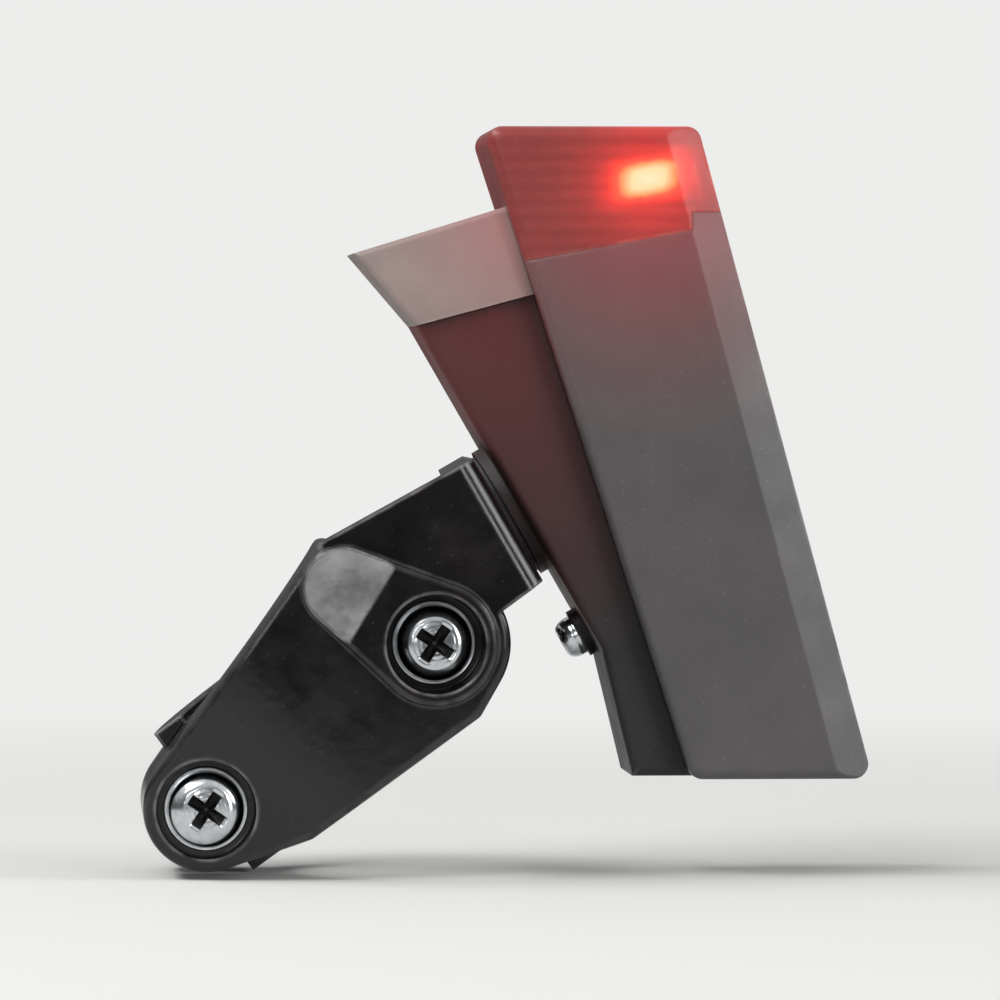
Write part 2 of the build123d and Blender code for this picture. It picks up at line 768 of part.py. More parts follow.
def seam_end():
    """Where the pod's top seam meets the housing's front edge."""
    start = pod_corner(POD_UP)
    slope = tan(radians(POD_SEAM_SLOPE))
    lean = tan(radians(FRONT_LEAN))
    x = (LAMP_FRONT_X + (LAMP_TOP - start[1] + slope * start[0]) * lean) / (1 + slope * lean)
    return (x, start[1] + (x - start[0]) * slope)


def pod_corner(up):
    point = swivel_dir * POD_GAP + flange_up * up
    return (point.X, point.Z)


def pod_outline():
    low_x = front_x(POD_BOTTOM)
    return polygon(
        pod_corner(POD_UP),
        pod_corner(-POD_DOWN),
        (POD_LOW_X, POD_BOTTOM),
        (low_x + 1, POD_BOTTOM),
        (seam_end()[0] + 1, seam_end()[1] + 1 * tan(radians(POD_SEAM_SLOPE))),
    )


def pod_inside(less):
    """Inside of the pod, open towards the housing and the cap, smaller by an amount."""
    outline = polygon(
        pod_corner(POD_UP + 12),
        pod_corner(-POD_DOWN),
        (POD_LOW_X, POD_BOTTOM),
        (50, POD_BOTTOM),
        (50, 60),
    )
    half = POD_HALF - POD_WALL - less
    return slab(inset(outline, POD_WALL + less), -half, half)


def turned(item):
    """Bring a solid made in the swivel frame into the side view's frame."""
    return side_plane.location.inverse() * in_swivel(item)


def pod_shell(block):
    body = slab(pod_outline(), -POD_HALF, POD_HALF)
    rim = body.edges().filter_by(
        lambda e: abs(abs(e.center().Z) - POD_HALF) < 0.01 and e.center().X < front_x(e.center().Y) - 2
        and e.center().Y < seam_end()[1] - 1.6
    )
    body = fillet(rim, POD_EDGE_R)
    body -= pod_inside(0)
    body += turned(rod(COLLAR_R, POD_GAP, POD_GAP + COLLAR_H))
    body += turned(rod(SWIVEL_BOSS_R, DISC_T, POD_GAP))
    for up in STORE_SADDLES:
        block_up = Pos(up, 0, POD_GAP + 2.4) * Box(SADDLE_T, 9.0, 4.0)
        body += turned(block_up)
    body += turned(rod(POD_PAD_R, POD_GAP - POD_PAD_H, 14, (POD_SCREW_T, 0)))
    body -= block
    body -= turned(rod(M4_R + SWIVEL_FIT, 0, 20))
    body -= turned(rod(BOLT_HEAD_R + 0.1, POD_GAP + POD_WALL, 20))
    axis = Plane(origin=(STORE_LOW - 0.3, 0, POD_GAP + POD_WALL + STORE_R), z_dir=(1, 0, 0))
    body -= turned(axis.location * rod(STORE_R + STORE_PLAY, 0, STORE_L + 0.6))
    body -= turned(rod(POD_SCREW_R, -5, 20, (POD_SCREW_T, 0)))
    return body


def pod_cap(block):
    """Light grey end block that plugs the pod's open top."""
    start = pod_corner(POD_UP)
    end = seam_end()
    slope = tan(radians(CAP_SLOPE))
    right = end[0] + 2
    outline = polygon(
        start,
        (CAP_X, CAP_Z),
        (right, CAP_Z + (right - CAP_X) * slope),
        (right, end[1] + 2 * tan(radians(POD_SEAM_SLOPE))),
    )
    body = slab(outline, -POD_HALF, POD_HALF + CAP_PROUD)
    rim = body.edges().filter_by(
        lambda e: (abs(e.center().Z - POD_HALF - CAP_PROUD) < 0.01 or abs(e.center().Z + POD_HALF) < 0.01)
        and e.center().X < -4 and e.center().Y > start[1] + 2.5
    )
    body = fillet(rim, 0.6)
    inner = inset(outline, CAP_WALL)
    body -= slab(inner, CAP_WALL - POD_HALF, POD_HALF + CAP_PROUD - CAP_WALL)
    lip = pod_inside(0.1) - pod_inside(1.1)
    down = tan(radians(POD_SEAM_SLOPE))
    band = polygon(
        (start[0] - 10, start[1] - 10 * down + 0.8),
        (start[0] - 10, start[1] - 10 * down - CAP_LIP),
        (start[0] + 9.4, start[1] + 9.4 * down - CAP_LIP),
        (start[0] + 9.4, start[1] + 9.4 * down + 0.8),
    )
    body += lip & slab(band, -20, 20)
    return body - block


def store_can():
    """Capacitor can lying along the pod, in the swivel frame."""
    can = rod(STORE_R, 0, STORE_L)
    can = chamfer(can.edges().sort_by(Axis.Z)[-1], 0.4)
    return Plane(origin=(STORE_LOW, 0, POD_GAP + POD_WALL + STORE_R), z_dir=(1, 0, 0)).location * can


def store_leads():
    """Two leads from the capacitor, through the housing's wall, to the board."""
    leads = []
    top = STORE_LOW + STORE_L
    for side in (-1, 1):
        point = swivel_dir * (POD_GAP + POD_WALL + STORE_R) + flange_up * top
        ahead = point + flange_up * 1.6
        path = Polyline(
            (point.X, point.Z, side * 1.2),
            (ahead.X, ahead.Z, side * 1.2),
            (2.0, 21.7, side * 1.2),
            (7.5, 18.0, side * 1.2),
            (14.5 - side * 0.9, 17.0, side * 1.2),
            (14.5 - side * 0.9, 17.0, BOARD_H + 1),
        )
        circle = Plane(path @ 0, z_dir=path % 0) * Circle(STORE_LEAD_R)
        wire = sweep(circle, path, transition=Transition.RIGHT)
        leads.append(in_side(wire - turned(store_can()) - board_slab()))
    save("capacitor_leads", *leads)


def pod(block):
    save("pod_shell", in_side(pod_shell(block)))
    save("pod_cap", in_side(pod_cap(block)))
    screw = Rot(X=180) * pan_screw(POD_SCREW_R, POD_SCREW_L, POD_SCREW_HEAD_R, POD_SCREW_HEAD_H, 1.2, 0.9)
    save("pod_screw", in_swivel(Pos(POD_SCREW_T, 0, POD_GAP - POD_PAD_H) * screw))
    save("storage_capacitor", in_swivel(store_can()))
    store_leads()


def lamp_head(block):
    seal_a = lens_seal()
    seal_b = cover_seal()
    save("lens", in_side(lens(block)))
    save("lens_seal", in_side(seal_a))
    save("cover_seal", in_side(seal_b))
    save("housing", in_side(housing(block, seal_a, seal_b)))
    save("back_cover", in_side(back_cover(block, seal_a)))
    screws = []
    for site in cover_sites():
        screws.append(in_side(Pos(*site, COVER_HEAD_H + 0.2 - LAMP_IN) * cover_screw()))
    save("cover_screws", *screws)


def main():
    clamp()
    swivel()
    block = lamp_block()
    lamp_head(block)
    electronics()
    coil()
    pod(block)


main()
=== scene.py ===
import logging
import math
from dataclasses import dataclass, field
from enum import Enum
from typing import Callable, Iterable, Sequence

import bmesh
import bpy
from bmesh.types import BMEdge, BMesh, BMVert
from bpy.types import Node, NodeSocket, NodeTree
from mathutils import Matrix, Vector


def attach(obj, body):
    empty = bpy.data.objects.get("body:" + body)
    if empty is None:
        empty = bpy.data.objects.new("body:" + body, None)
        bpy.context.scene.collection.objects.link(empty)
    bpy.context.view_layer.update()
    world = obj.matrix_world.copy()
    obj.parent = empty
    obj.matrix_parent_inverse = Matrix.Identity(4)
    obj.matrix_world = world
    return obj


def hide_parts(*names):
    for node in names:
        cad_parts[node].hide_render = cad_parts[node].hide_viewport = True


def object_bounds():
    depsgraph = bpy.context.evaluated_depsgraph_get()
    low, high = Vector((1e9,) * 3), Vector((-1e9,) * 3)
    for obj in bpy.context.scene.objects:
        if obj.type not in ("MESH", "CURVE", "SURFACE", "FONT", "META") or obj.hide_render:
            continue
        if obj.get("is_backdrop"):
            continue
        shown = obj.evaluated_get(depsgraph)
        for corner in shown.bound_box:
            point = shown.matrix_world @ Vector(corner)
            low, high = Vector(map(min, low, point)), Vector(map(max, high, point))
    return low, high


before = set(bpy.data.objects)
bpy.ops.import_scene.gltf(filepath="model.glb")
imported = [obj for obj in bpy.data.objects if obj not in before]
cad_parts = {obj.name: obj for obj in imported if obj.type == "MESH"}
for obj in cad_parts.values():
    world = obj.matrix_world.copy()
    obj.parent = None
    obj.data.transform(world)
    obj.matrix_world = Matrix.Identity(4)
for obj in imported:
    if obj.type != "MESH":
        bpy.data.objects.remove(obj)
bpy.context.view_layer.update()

log = logging.getLogger("tail_light")
Pair = tuple[float, float]
Triple = tuple[float, float, float]

# One millimetre in the scene's metres. Every form is made in millimetres and scaled once, as it is placed.
MM = 0.001
# Turn of the cross recesses round their screws, as in the CAD.
RECESS_TURN = Matrix.Rotation(math.radians(20.0), 3, "Z")
# Half the width of a cross recess's arm over its reach, and a square neck's rounded corner over half its flats.
CROSS_ARM, NECK_CORNER = 0.26, 1.3
# A wave texture of scale 1 repeats every 0.314 units. The turning marks need it less exactly than the flutes.
WAVE_PERIOD, TURNING_PERIOD = 0.314159, 0.31
# Nearly all values of a noise texture lie between these.
NOISE_RANGE = {"From Min": 0.3, "From Max": 0.7}


def linear(code: str) -> tuple[float, float, float, float]:
    """Turns an sRGB hex colour to linear light.

    Args:
        code: colour as six hex digits, with or without a hash.

    Returns:
        Red, green, blue and an alpha of one.
    """
    code = code.lstrip("#")
    parts = [int(code[i:i + 2], 16) / 255 for i in (0, 2, 4)]
    red, green, blue = (p / 12.92 if p <= 0.04045 else ((p + 0.055) / 1.055) ** 2.4 for p in parts)
    return red, green, blue, 1.0


BLACK, WHITE = linear("#000000"), linear("#FFFFFF")


def feed(tree: NodeTree, node: Node, inputs: dict) -> Node:
    """Sets some of a node's sockets.

    Args:
        tree: the node's tree.
        node: the node.
        inputs: sockets by name or number. Each gets a value, or is fed by an output, by a node's first output in
            use, or by the node of that name.

    Returns:
        The same node.
    """
    for key, value in inputs.items():
        if isinstance(value, str):
            value = tree.nodes[value]
        if isinstance(value, Node):
            value = next(socket for socket in value.outputs if socket.enabled)
        if isinstance(value, NodeSocket):
            tree.links.new(value, node.inputs[key])
        else:
            node.inputs[key].default_value = value
    return node


def add(tree: NodeTree, kind: str, inputs: dict | None = None, **settings: object) -> Node:
    """Adds one node with its settings and links.

    Args:
        tree: node tree that gets it.
        kind: the node's type, without the prefix that all of them share.
        inputs: its sockets, as feed takes them.
        **settings: properties of the node.

    Returns:
        The new node.
    """
    made = tree.nodes.new("ShaderNode" + kind)
    for key, value in settings.items():
        setattr(made, key, value)
    return feed(tree, made, inputs or {})


class Body(Enum):
    """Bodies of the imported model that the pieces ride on."""

    BRACKET = "bracket"
    CARRIAGE = "carriage"
    LAMP = "lamp"


class Axes(Enum):
    """Directions that the clamp, the swivel and the lamp are laid out in: x, y and z, then the origin in mm."""

    CLAMP = ((0.809017, 0, 0.587785), (-0.587785, 0, 0.809017), (0, -1, 0), (0, 0, 0))
    SWIVEL = ((-0.5, 0, 0.866025), (0, -1, 0), (0.866025, 0, 0.5), (19.876, 0, 21.981))
    SIDE = ((1, 0, 0), (0, 0, 1), (0, -1, 0), (19.876, 0, 21.981))

    def at(self, x: float = 0, y: float = 0, z: float = 0, flipped: bool = False) -> Matrix:
        """Gives the place of a form made round its own z axis in millimetres.

        Args:
            x: place along the first direction, in mm.
            y: place along the second direction, in mm.
            z: place along the third direction, in mm.
            flipped: turns the form half round its x axis first.

        Returns:
            The matrix that brings it to the row frame in metres.
        """
        right, up, out, origin = (Vector(v) for v in self.value)
        frame_matrix = Matrix((right, up, out)).transposed().to_4x4()
        frame_matrix.translation = origin
        turn = Matrix.Rotation(math.pi, 4, "X") if flipped else Matrix.Identity(4)
        return Matrix.Scale(MM, 4) @ frame_matrix @ Matrix.Translation((x, y, z)) @ turn


class Pattern(Enum):
    """Kinds of fine relief on a surface."""

    GRAIN = "spark-eroded grain, or drawn streaks where it is stretched"
    PEBBLE = "orange peel"
    TURNING = "turning marks"


@dataclass(frozen=True)
class Relief:
    """One layer of relief, with its real size and depth in mm."""

    size: float
    depth: float
    pattern: Pattern = Pattern.GRAIN
    stretch: Triple = (1.0, 1.0, 1.0)

    def height(self, tree: NodeTree) -> Node | NodeSocket:
        """Adds the nodes that give the layer's height.

        Args:
            tree: the material's node tree.

        Returns:
            The node or the output that gives a height from 0 to 1.
        """
        if self.pattern is Pattern.TURNING:
            inputs = {"Vector": add(tree, "UVMap", uv_map="turned"), "Scale": TURNING_PERIOD / self.size,
                      "Distortion": 0.9, "Detail": 2.0}
            return add(tree, "TexWave", inputs, wave_type="BANDS", bands_direction="DIAGONAL").outputs[1]
        if self.pattern is Pattern.PEBBLE:
            inputs = {"Vector": "place", "Scale": 1 / self.size, "Smoothness": 1.0}
            return add(tree, "TexVoronoi", inputs, feature="SMOOTH_F1")
        spread = add(tree, "Mapping", {"Vector": "place", "Scale": self.stretch})
        return add(tree, "TexNoise", {"Vector": spread, "Scale": 1 / self.size, "Detail": 3.0, "Roughness": 0.55})


@dataclass(frozen=True)
class Finish:
    """A finish as it leaves the mould, the lathe or the plating bath: colour, drift of colour, gloss and relief."""

    name: str
    colour: str
    tone: str
    drift: float
    roughness: float
    spread: float = 0.06
    metallic: float = 0.0
    ior: float = 1.5
    coat: float = 0.0
    coat_roughness: float = 0.06
    specular: float = 0.5
    sheen: float = 0.0
    relief: tuple[Relief, ...] = ()
    edge: float = 0.0
    wear_and_highlight: str = ""
    specks: str = ""
    fleck: float = 0.0
    shade_reach: float = 0.0

    def material(self) -> bpy.types.Material:
        """Makes the finish's material at its first use.

        Returns:
            The material, with its coordinates in mm on the node named place.
        """
        known = bpy.data.materials.get(self.name)
        if known is not None:
            return known
        made = bpy.data.materials.new(self.name)
        made.use_nodes = True
        tree = made.node_tree
        spot = add(tree, "TexCoord").outputs["Object"]
        add(tree, "Mapping", {"Vector": spot, "Scale": (1 / MM, 1 / MM, 1 / MM)}, name="place")
        self.dress(tree, tree.nodes["Principled BSDF"])
        return made

    def dress(self, tree: NodeTree, shader: Node) -> None:
        """Sets the shader's values and feeds its colour, roughness and relief."""
        feed(tree, shader, {
            "Metallic": self.metallic, "IOR": self.ior, "Coat Weight": self.coat,
            "Coat Roughness": self.coat_roughness, "Specular IOR Level": self.specular, "Sheen Weight": self.sheen,
            "Base Color": self.painted(tree), "Roughness": self.gloss(tree), **self.bumps(tree)})

    def painted(self, tree: NodeTree) -> Node:
        """Adds the nodes that give the colour: drift from batch and handling, worn edges that also stand as painted
        highlights, dust, and painted shade in corners and seams.

        Args:
            tree: the material's node tree.

        Returns:
            The node that gives the colour.
        """
        cloud = add(tree, "TexNoise", {"Vector": "place", "Scale": 1 / self.drift, "Detail": 4.0, "Roughness": 0.6})
        share = add(tree, "MapRange", {"Value": cloud, **NOISE_RANGE})
        colour = add(tree, "Mix", {0: share, 6: linear(self.colour), 7: linear(self.tone)}, data_type="RGBA")
        if self.fleck:
            # Pigment and grain seen as a mottle about 0.2 mm across.
            mottle = add(tree, "TexNoise", {"Vector": "place", "Scale": 4.5, "Detail": 3.0, "Roughness": 0.7})
            shade = add(tree, "MapRange", {"Value": mottle, **NOISE_RANGE,
                                           "To Min": 1 - self.fleck, "To Max": 1 + self.fleck})
            colour = add(tree, "VectorMath", {0: colour, "Scale": shade}, operation="SCALE")
        if self.wear_and_highlight:
            # Rubbed paler edges, which also stand as painted edge highlights: where a rounded edge turns away from the
            # face, in patches.
            turned = add(tree, "Bevel", {"Radius": self.edge * 1.5 * MM}, samples=4)
            flat = add(tree, "NewGeometry").outputs["Normal"]
            agree = add(tree, "VectorMath", {0: turned, 1: flat}, operation="DOT_PRODUCT")
            rim = add(tree, "MapRange", {"Value": agree, "From Min": 0.99, "From Max": 0.86})
            rub = add(tree, "TexNoise", {"Vector": "place", "Scale": 0.45, "Detail": 5.0})
            patch = add(tree, "MapRange", {"Value": rub, "From Min": 0.3, "From Max": 0.64})
            amount = add(tree, "Math", {0: rim, 1: patch}, operation="MULTIPLY")
            colour = add(tree, "Mix", {0: amount, 6: colour, 7: linear(self.wear_and_highlight)}, data_type="RGBA")
        if self.specks:
            # Road dust, about 0.2 mm across, in drifts: each grain as pale as its own cell's random value.
            cells = add(tree, "TexVoronoi", {"Vector": "place", "Scale": 1.3, "Randomness": 1.0})
            own = add(tree, "SeparateColor", {0: cells.outputs["Color"]})
            pale = add(tree, "MapRange", {"Value": own, "From Min": 0.35, "From Max": 1.0,
                                          "To Min": 0.0, "To Max": 0.42})
            near = add(tree, "MapRange", {"Value": cells, "From Min": 0.05, "From Max": 0.2,
                                          "To Min": pale, "To Max": 0.0})
            colour = add(tree, "Mix", {0: near, 6: colour, 7: linear(self.specks)}, data_type="RGBA")
        # Painted shade: the colour darkens in corners and seams, where little light comes.
        if self.shade_reach:
            colour = add(tree, "VectorMath", {0: colour, "Scale": self.unshaded_share(tree)}, operation="SCALE")
        return colour

    def unshaded_share(self, tree: NodeTree) -> Node:
        """Finds corners and seams for painted shade, where little light comes: 1 in the open, less in a corner."""
        corner = add(tree, "AmbientOcclusion", {"Distance": self.shade_reach * MM}, samples=6).outputs["AO"]
        return add(tree, "MapRange", {"Value": corner, "From Min": 0.5, "From Max": 0.93,
                                      "To Min": 0.1, "To Max": 1.0})

    def gloss(self, tree: NodeTree) -> Node:
        """Adds the nodes that give the roughness, which moves a little with handling and fine streaks."""
        hands = add(tree, "TexNoise", {"Vector": "place", "Scale": 0.22, "Detail": 5.0, "Roughness": 0.6})
        return add(tree, "MapRange", {"Value": hands, **NOISE_RANGE,
                                      "To Min": max(0.02, self.roughness - self.spread),
                                      "To Max": self.roughness + self.spread})

    def bumps(self, tree: NodeTree) -> dict[str, Node]:
        """Adds the rounding of moulded edges, then the layers of relief, each on the one before.

        Args:
            tree: the material's node tree.

        Returns:
            The normal's socket and the node that feeds it, or nothing for a finish with no relief.
        """
        normal = {}
        if self.edge:
            normal["Normal"] = add(tree, "Bevel", {"Radius": self.edge * MM}, samples=5)
        for layer in self.relief:
            inputs = {"Height": layer.height(tree), "Distance": layer.depth * MM, "Strength": 1.0}
            normal["Normal"] = add(tree, "Bump", {**inputs, **normal})
        return normal


class Facing(Enum):
    """Wall of the lens that a bright patch shows on: its width axis, its depth axis and the way out."""

    OUTBOARD = (0, 1, -1.0)
    REAR = (1, 0, 1.0)


@dataclass(frozen=True)
class Glow:
    """Light of the lit LED, painted as emission on what lies near it, in the row frame, in mm."""

    middle: Triple = (34.9, -9.0, 58.2)
    half_width: float = 3.5
    half_height: float = 2.05
    tilt: float = 0.16
    squareness: float = 3.6
    ragged: float = 0.5
    near: float = 2.5
    reach: float = 15.0
    fall: float = 2.6
    facing: Facing = Facing.OUTBOARD
    depth: float = 0.5

    def core(self, tree: NodeTree) -> Node:
        """Adds the nodes that colour the painted bright patch of the LED's light: cream, then orange and red at its
        rim.

        Args:
            tree: the material's node tree.

        Returns:
            The node that gives the patch's colour, black away from it.
        """
        wander = add(tree, "TexNoise", {"Vector": "place", "Scale": 0.7, "Detail": 3.0}).outputs["Color"]
        moved = add(tree, "VectorMath", {0: wander, 1: (self.ragged, 0, self.ragged), 2: "place"},
                    operation="MULTIPLY_ADD")
        parts = add(tree, "SeparateXYZ", {0: moved}).outputs
        wide, deep, way = self.facing.value
        # A noise is 0.5 on the whole, so the patch moves by half of its raggedness.
        across, up = (add(tree, "Math", {0: parts[axis], 1: self.middle[axis] + self.ragged / 2},
                          operation="SUBTRACT") for axis in (wide, 2))
        slanted = add(tree, "Math", {0: across, 1: -self.tilt, 2: up}, operation="MULTIPLY_ADD")
        powers = {}
        for key, (offset, half) in enumerate(((across, self.half_width), (slanted, self.half_height))):
            share = add(tree, "Math", {0: offset, 1: half}, operation="DIVIDE")
            bare = add(tree, "Math", {0: share}, operation="ABSOLUTE")
            powers[key] = add(tree, "Math", {0: bare, 1: self.squareness}, operation="POWER")
        whole = add(tree, "Math", powers, operation="ADD")
        out = add(tree, "Math", {0: whole, 1: 1 / self.squareness}, operation="POWER")
        half_out = add(tree, "Math", {0: out, 1: 0.5}, operation="MULTIPLY")
        # Off the wall that the patch belongs to, the distance is pushed past the ramp's dark end.
        ahead = add(tree, "Math", {0: parts[deep], 1: -way, 2: way * self.middle[deep] + self.depth},
                    operation="MULTIPLY_ADD")
        missed = add(tree, "Math", {0: ahead, 1: 0.0}, operation="MAXIMUM")
        beyond = add(tree, "Math", {0: half_out, 1: missed}, operation="ADD")
        shades = add(tree, "ValToRGB", {0: beyond})
        stops = ((0.0, "#FFDEB6"), (0.25, "#FFD09A"), (0.38, "#FF985A"), (0.47, "#F24A2A"), (0.62, "#B41A12"),
                 (1.0, "#000000"))
        while len(shades.color_ramp.elements) < len(stops):
            shades.color_ramp.elements.new(0.5)
        for stop, (spot, code) in zip(shades.color_ramp.elements, stops):
            stop.position = spot
            stop.color = linear(code)
        return shades

    def halo(self, tree: NodeTree) -> Node:
        """Adds the nodes that say how much of the LED's glow reaches a point.

        Args:
            tree: the material's node tree.

        Returns:
            The node that gives the share, 0 to 1.
        """
        far = add(tree, "VectorMath", {0: "place", 1: self.middle}, operation="DISTANCE")
        fade = {"Value": far, "From Min": self.near, "From Max": self.reach, "To Min": 1.0, "To Max": 0.0}
        return add(tree, "Math", {0: add(tree, "MapRange", fade), 1: self.fall}, operation="POWER")

    def light(self, tree: NodeTree, code: str) -> Node:
        """Adds the nodes that give the glow in a colour, black out of its reach."""
        return add(tree, "Mix", {0: self.halo(tree), 6: BLACK, 7: linear(code)}, data_type="RGBA")


@dataclass(frozen=True)
class LensFinish(Finish):
    """Tinted clear plastic that lets the LED's light through and takes up its glow."""

    glow: Glow = Glow()
    rear: Glow = Glow(middle=(34.9, -8.3, 58.2), half_width=2.3, half_height=1.9, tilt=0.0, facing=Facing.REAR,
                      depth=4.0)
    inner: Glow = Glow(middle=(35.5, 10.0, 58.2), near=0.5, reach=14.0, fall=1.8)
    lit: str = "#CE1610"
    leak: str = "#8E120E"
    clear: float = 0.45
    flute_pitch: float = 1.6
    swing: Pair = (-0.1, 0.05)
    wall: Pair = (-12.2, -12.9)

    def streaks(self, tree: NodeTree) -> Node:
        """Adds the nodes that paint the light and shade of the level flutes inside the outboard wall as faint bands
        through it.

        Args:
            tree: the material's node tree.

        Returns:
            The node that gives a factor for colour and glow, 1 away from that wall.
        """
        # The phase puts a painted dark band on each of the CAD's flutes.
        inputs = {"Vector": "place", "Scale": WAVE_PERIOD / self.flute_pitch, "Distortion": 0.9, "Detail": 1.0,
                  "Detail Scale": 0.25, "Phase Offset": math.pi / 2}
        bands = add(tree, "TexWave", inputs, wave_type="BANDS", bands_direction="Z").outputs[1]
        swing = add(tree, "MapRange", {"Value": bands, "To Min": self.swing[0], "To Max": self.swing[1]})
        depth = add(tree, "SeparateXYZ", {0: "place"}).outputs[1]
        wall = add(tree, "MapRange", {"Value": depth, "From Min": self.wall[0], "From Max": self.wall[1]})
        return add(tree, "Math", {0: swing, 1: wall, 2: 1.0}, operation="MULTIPLY_ADD")

    def painted(self, tree: NodeTree) -> Node:
        """Adds the flutes' painted light and shade to the colour."""
        return add(tree, "VectorMath", {0: super().painted(tree), "Scale": self.streaks(tree)}, operation="SCALE")

    def dress(self, tree: NodeTree, shader: Node) -> None:
        """Adds transmission and the painted glow, as emission, to the plain finish.

        Args:
            tree: the material's node tree.
            shader: its main shader.
        """
        super().dress(tree, shader)
        # The painted glow takes the flutes' painted bands as well.
        shine = add(tree, "VectorMath", {0: self.glow.light(tree, self.lit), "Scale": self.streaks(tree)},
                    operation="SCALE")
        for layer in (self.inner.light(tree, self.leak), self.glow.core(tree), self.rear.core(tree)):
            shine = add(tree, "Mix", {0: 1.0, 6: shine, 7: layer}, data_type="RGBA", blend_type="LIGHTEN")
        feed(tree, shader, {"Transmission Weight": self.clear, "Emission Color": shine, "Emission Strength": 1.0})


@dataclass(frozen=True)
class NearLightFinish(Finish):
    """Opaque plastic beside the lens, with a painted red glow, as emission, for the light that leaves the lens's edge,
    and painted shade towards the lens.
    """

    glow: Glow = Glow()
    lit: str = ""
    shaded: str = ""

    def dress(self, tree: NodeTree, shader: Node) -> None:
        """Adds the painted red glow, as emission, to the plain finish.

        Args:
            tree: the material's node tree.
            shader: its main shader.
        """
        super().dress(tree, shader)
        light = add(tree, "VectorMath", {0: self.glow.light(tree, self.lit), "Scale": self.unshaded_share(tree)},
                    operation="SCALE")
        feed(tree, shader, {"Emission Color": light, "Emission Strength": 1.0})

    def painted(self, tree: NodeTree) -> Node:
        """Darkens the colour towards the lens, where the plastic stands in its shade."""
        inputs = {0: self.glow.halo(tree), 6: super().painted(tree), 7: linear(self.shaded)}
        return add(tree, "Mix", inputs, data_type="RGBA")


@dataclass(frozen=True)
class LitFinish(Finish):
    """A surface that shines by itself, even over its whole face."""

    light: str = ""
    strength: float = 1.0

    def dress(self, tree: NodeTree, shader: Node) -> None:
        """Adds the light to the plain finish."""
        super().dress(tree, shader)
        feed(tree, shader, {"Emission Color": linear(self.light), "Emission Strength": self.strength})


@dataclass(frozen=True)
class LaminateFinish(Finish):
    """Circuit board: solder mask over copper tracks, which show as paler lines about 0.35 mm wide."""

    track: str = "#2F7A45"
    pitch: float = 1.9
    length: float = 3.1
    half_track: float = 0.17

    def painted(self, tree: NodeTree) -> Node:
        """Adds the tracks to the mask's colour.

        Args:
            tree: the material's node tree.

        Returns:
            The node that gives the colour.
        """
        turned = add(tree, "Mapping", {"Vector": "place", "Rotation": (math.pi / 2, 0, 0)})
        inputs = {"Vector": turned, "Scale": 1.0, "Mortar Size": self.half_track, "Mortar Smooth": 0.1,
                  "Brick Width": self.length, "Row Height": self.pitch, "Color1": BLACK, "Color2": BLACK,
                  "Mortar": WHITE}
        lines = add(tree, "TexBrick", inputs, offset=0.37, squash=0.6)
        return add(tree, "Mix", {0: lines, 6: super().painted(tree), 7: linear(self.track)}, data_type="RGBA")


@dataclass(frozen=True)
class SleeveFinish(Finish):
    """Sleeve of the storage capacitor, with a pale band that marks one side."""

    band: str = "#B9BDC2"
    middle: Triple = (22.8, 0, 33.0)
    along: Triple = (0, -1, 0)
    low: float = 3.05
    high: float = 5.0

    def painted(self, tree: NodeTree) -> Node:
        """Adds the band to the colour.

        Args:
            tree: the material's node tree.

        Returns:
            The node that gives the colour.
        """
        from_middle = add(tree, "VectorMath", {0: "place", 1: self.middle}, operation="SUBTRACT")
        reach = add(tree, "VectorMath", {0: from_middle, 1: self.along}, operation="DOT_PRODUCT")
        above = add(tree, "Math", {0: reach, 1: self.low}, operation="GREATER_THAN")
        below = add(tree, "Math", {0: reach, 1: self.high}, operation="LESS_THAN")
        both = add(tree, "Math", {0: above, 1: below}, operation="MULTIPLY")
        return add(tree, "Mix", {0: both, 6: super().painted(tree), 7: linear(self.band)}, data_type="RGBA")


# Glass-filled nylon moulded in a polished tool: near black and glossy, with slight orange peel where the glass
# fibres lie, so reflections waver. Edges rub to a paler grey, which also stands as a painted edge highlight.
GLOSS_NYLON = Finish(
    "moulded_gloss_black_nylon", "#090809", "#110D0D", 9.0, 0.17, 0.07, edge=0.5, wear_and_highlight="#8A8684", specks="#4A4643",
    fleck=0.1, shade_reach=2.5, relief=(Relief(3.2, 0.02), Relief(1.3, 0.009, Pattern.PEBBLE), Relief(0.35, 0.002)))
# Soft black rubber, moulded: dull, with a pale bloom and a fine pebble.
LINER_RUBBER = Finish(
    "moulded_black_rubber", "#1E1E1F", "#2B2A29", 3.0, 0.74, 0.08, ior=1.52, sheen=0.25, specular=0.35,
    relief=(Relief(0.25, 0.012),))
# Hard rubber with graphite: grey sheen on black.
FRICTION_RUBBER = Finish(
    "graphite_friction_rubber", "#202022", "#343437", 1.6, 0.6, 0.1, specular=0.4, relief=(Relief(0.18, 0.01),))
# Zinc-plated steel, turned: bright, faintly blue, with fine rings from the tool.
ZINC_STEEL = Finish(
    "zinc_plated_steel", "#D9DCDE", "#B4B8BE", 1.1, 0.19, 0.07, metallic=1.0,
    relief=(Relief(0.26, 0.012, Pattern.TURNING), Relief(0.2, 0.003)))
# The same steel inside a recess, where plating is thin and road grime gathers, and painted dark for the shade in the
# recess: dark and dull.
GRIME_AND_SHADE_STEEL = Finish(
    "recess_steel_grime_and_shade", "#4E4F50", "#2C2A28", 0.5, 0.5, 0.12, metallic=1.0, relief=(Relief(0.2, 0.02),))
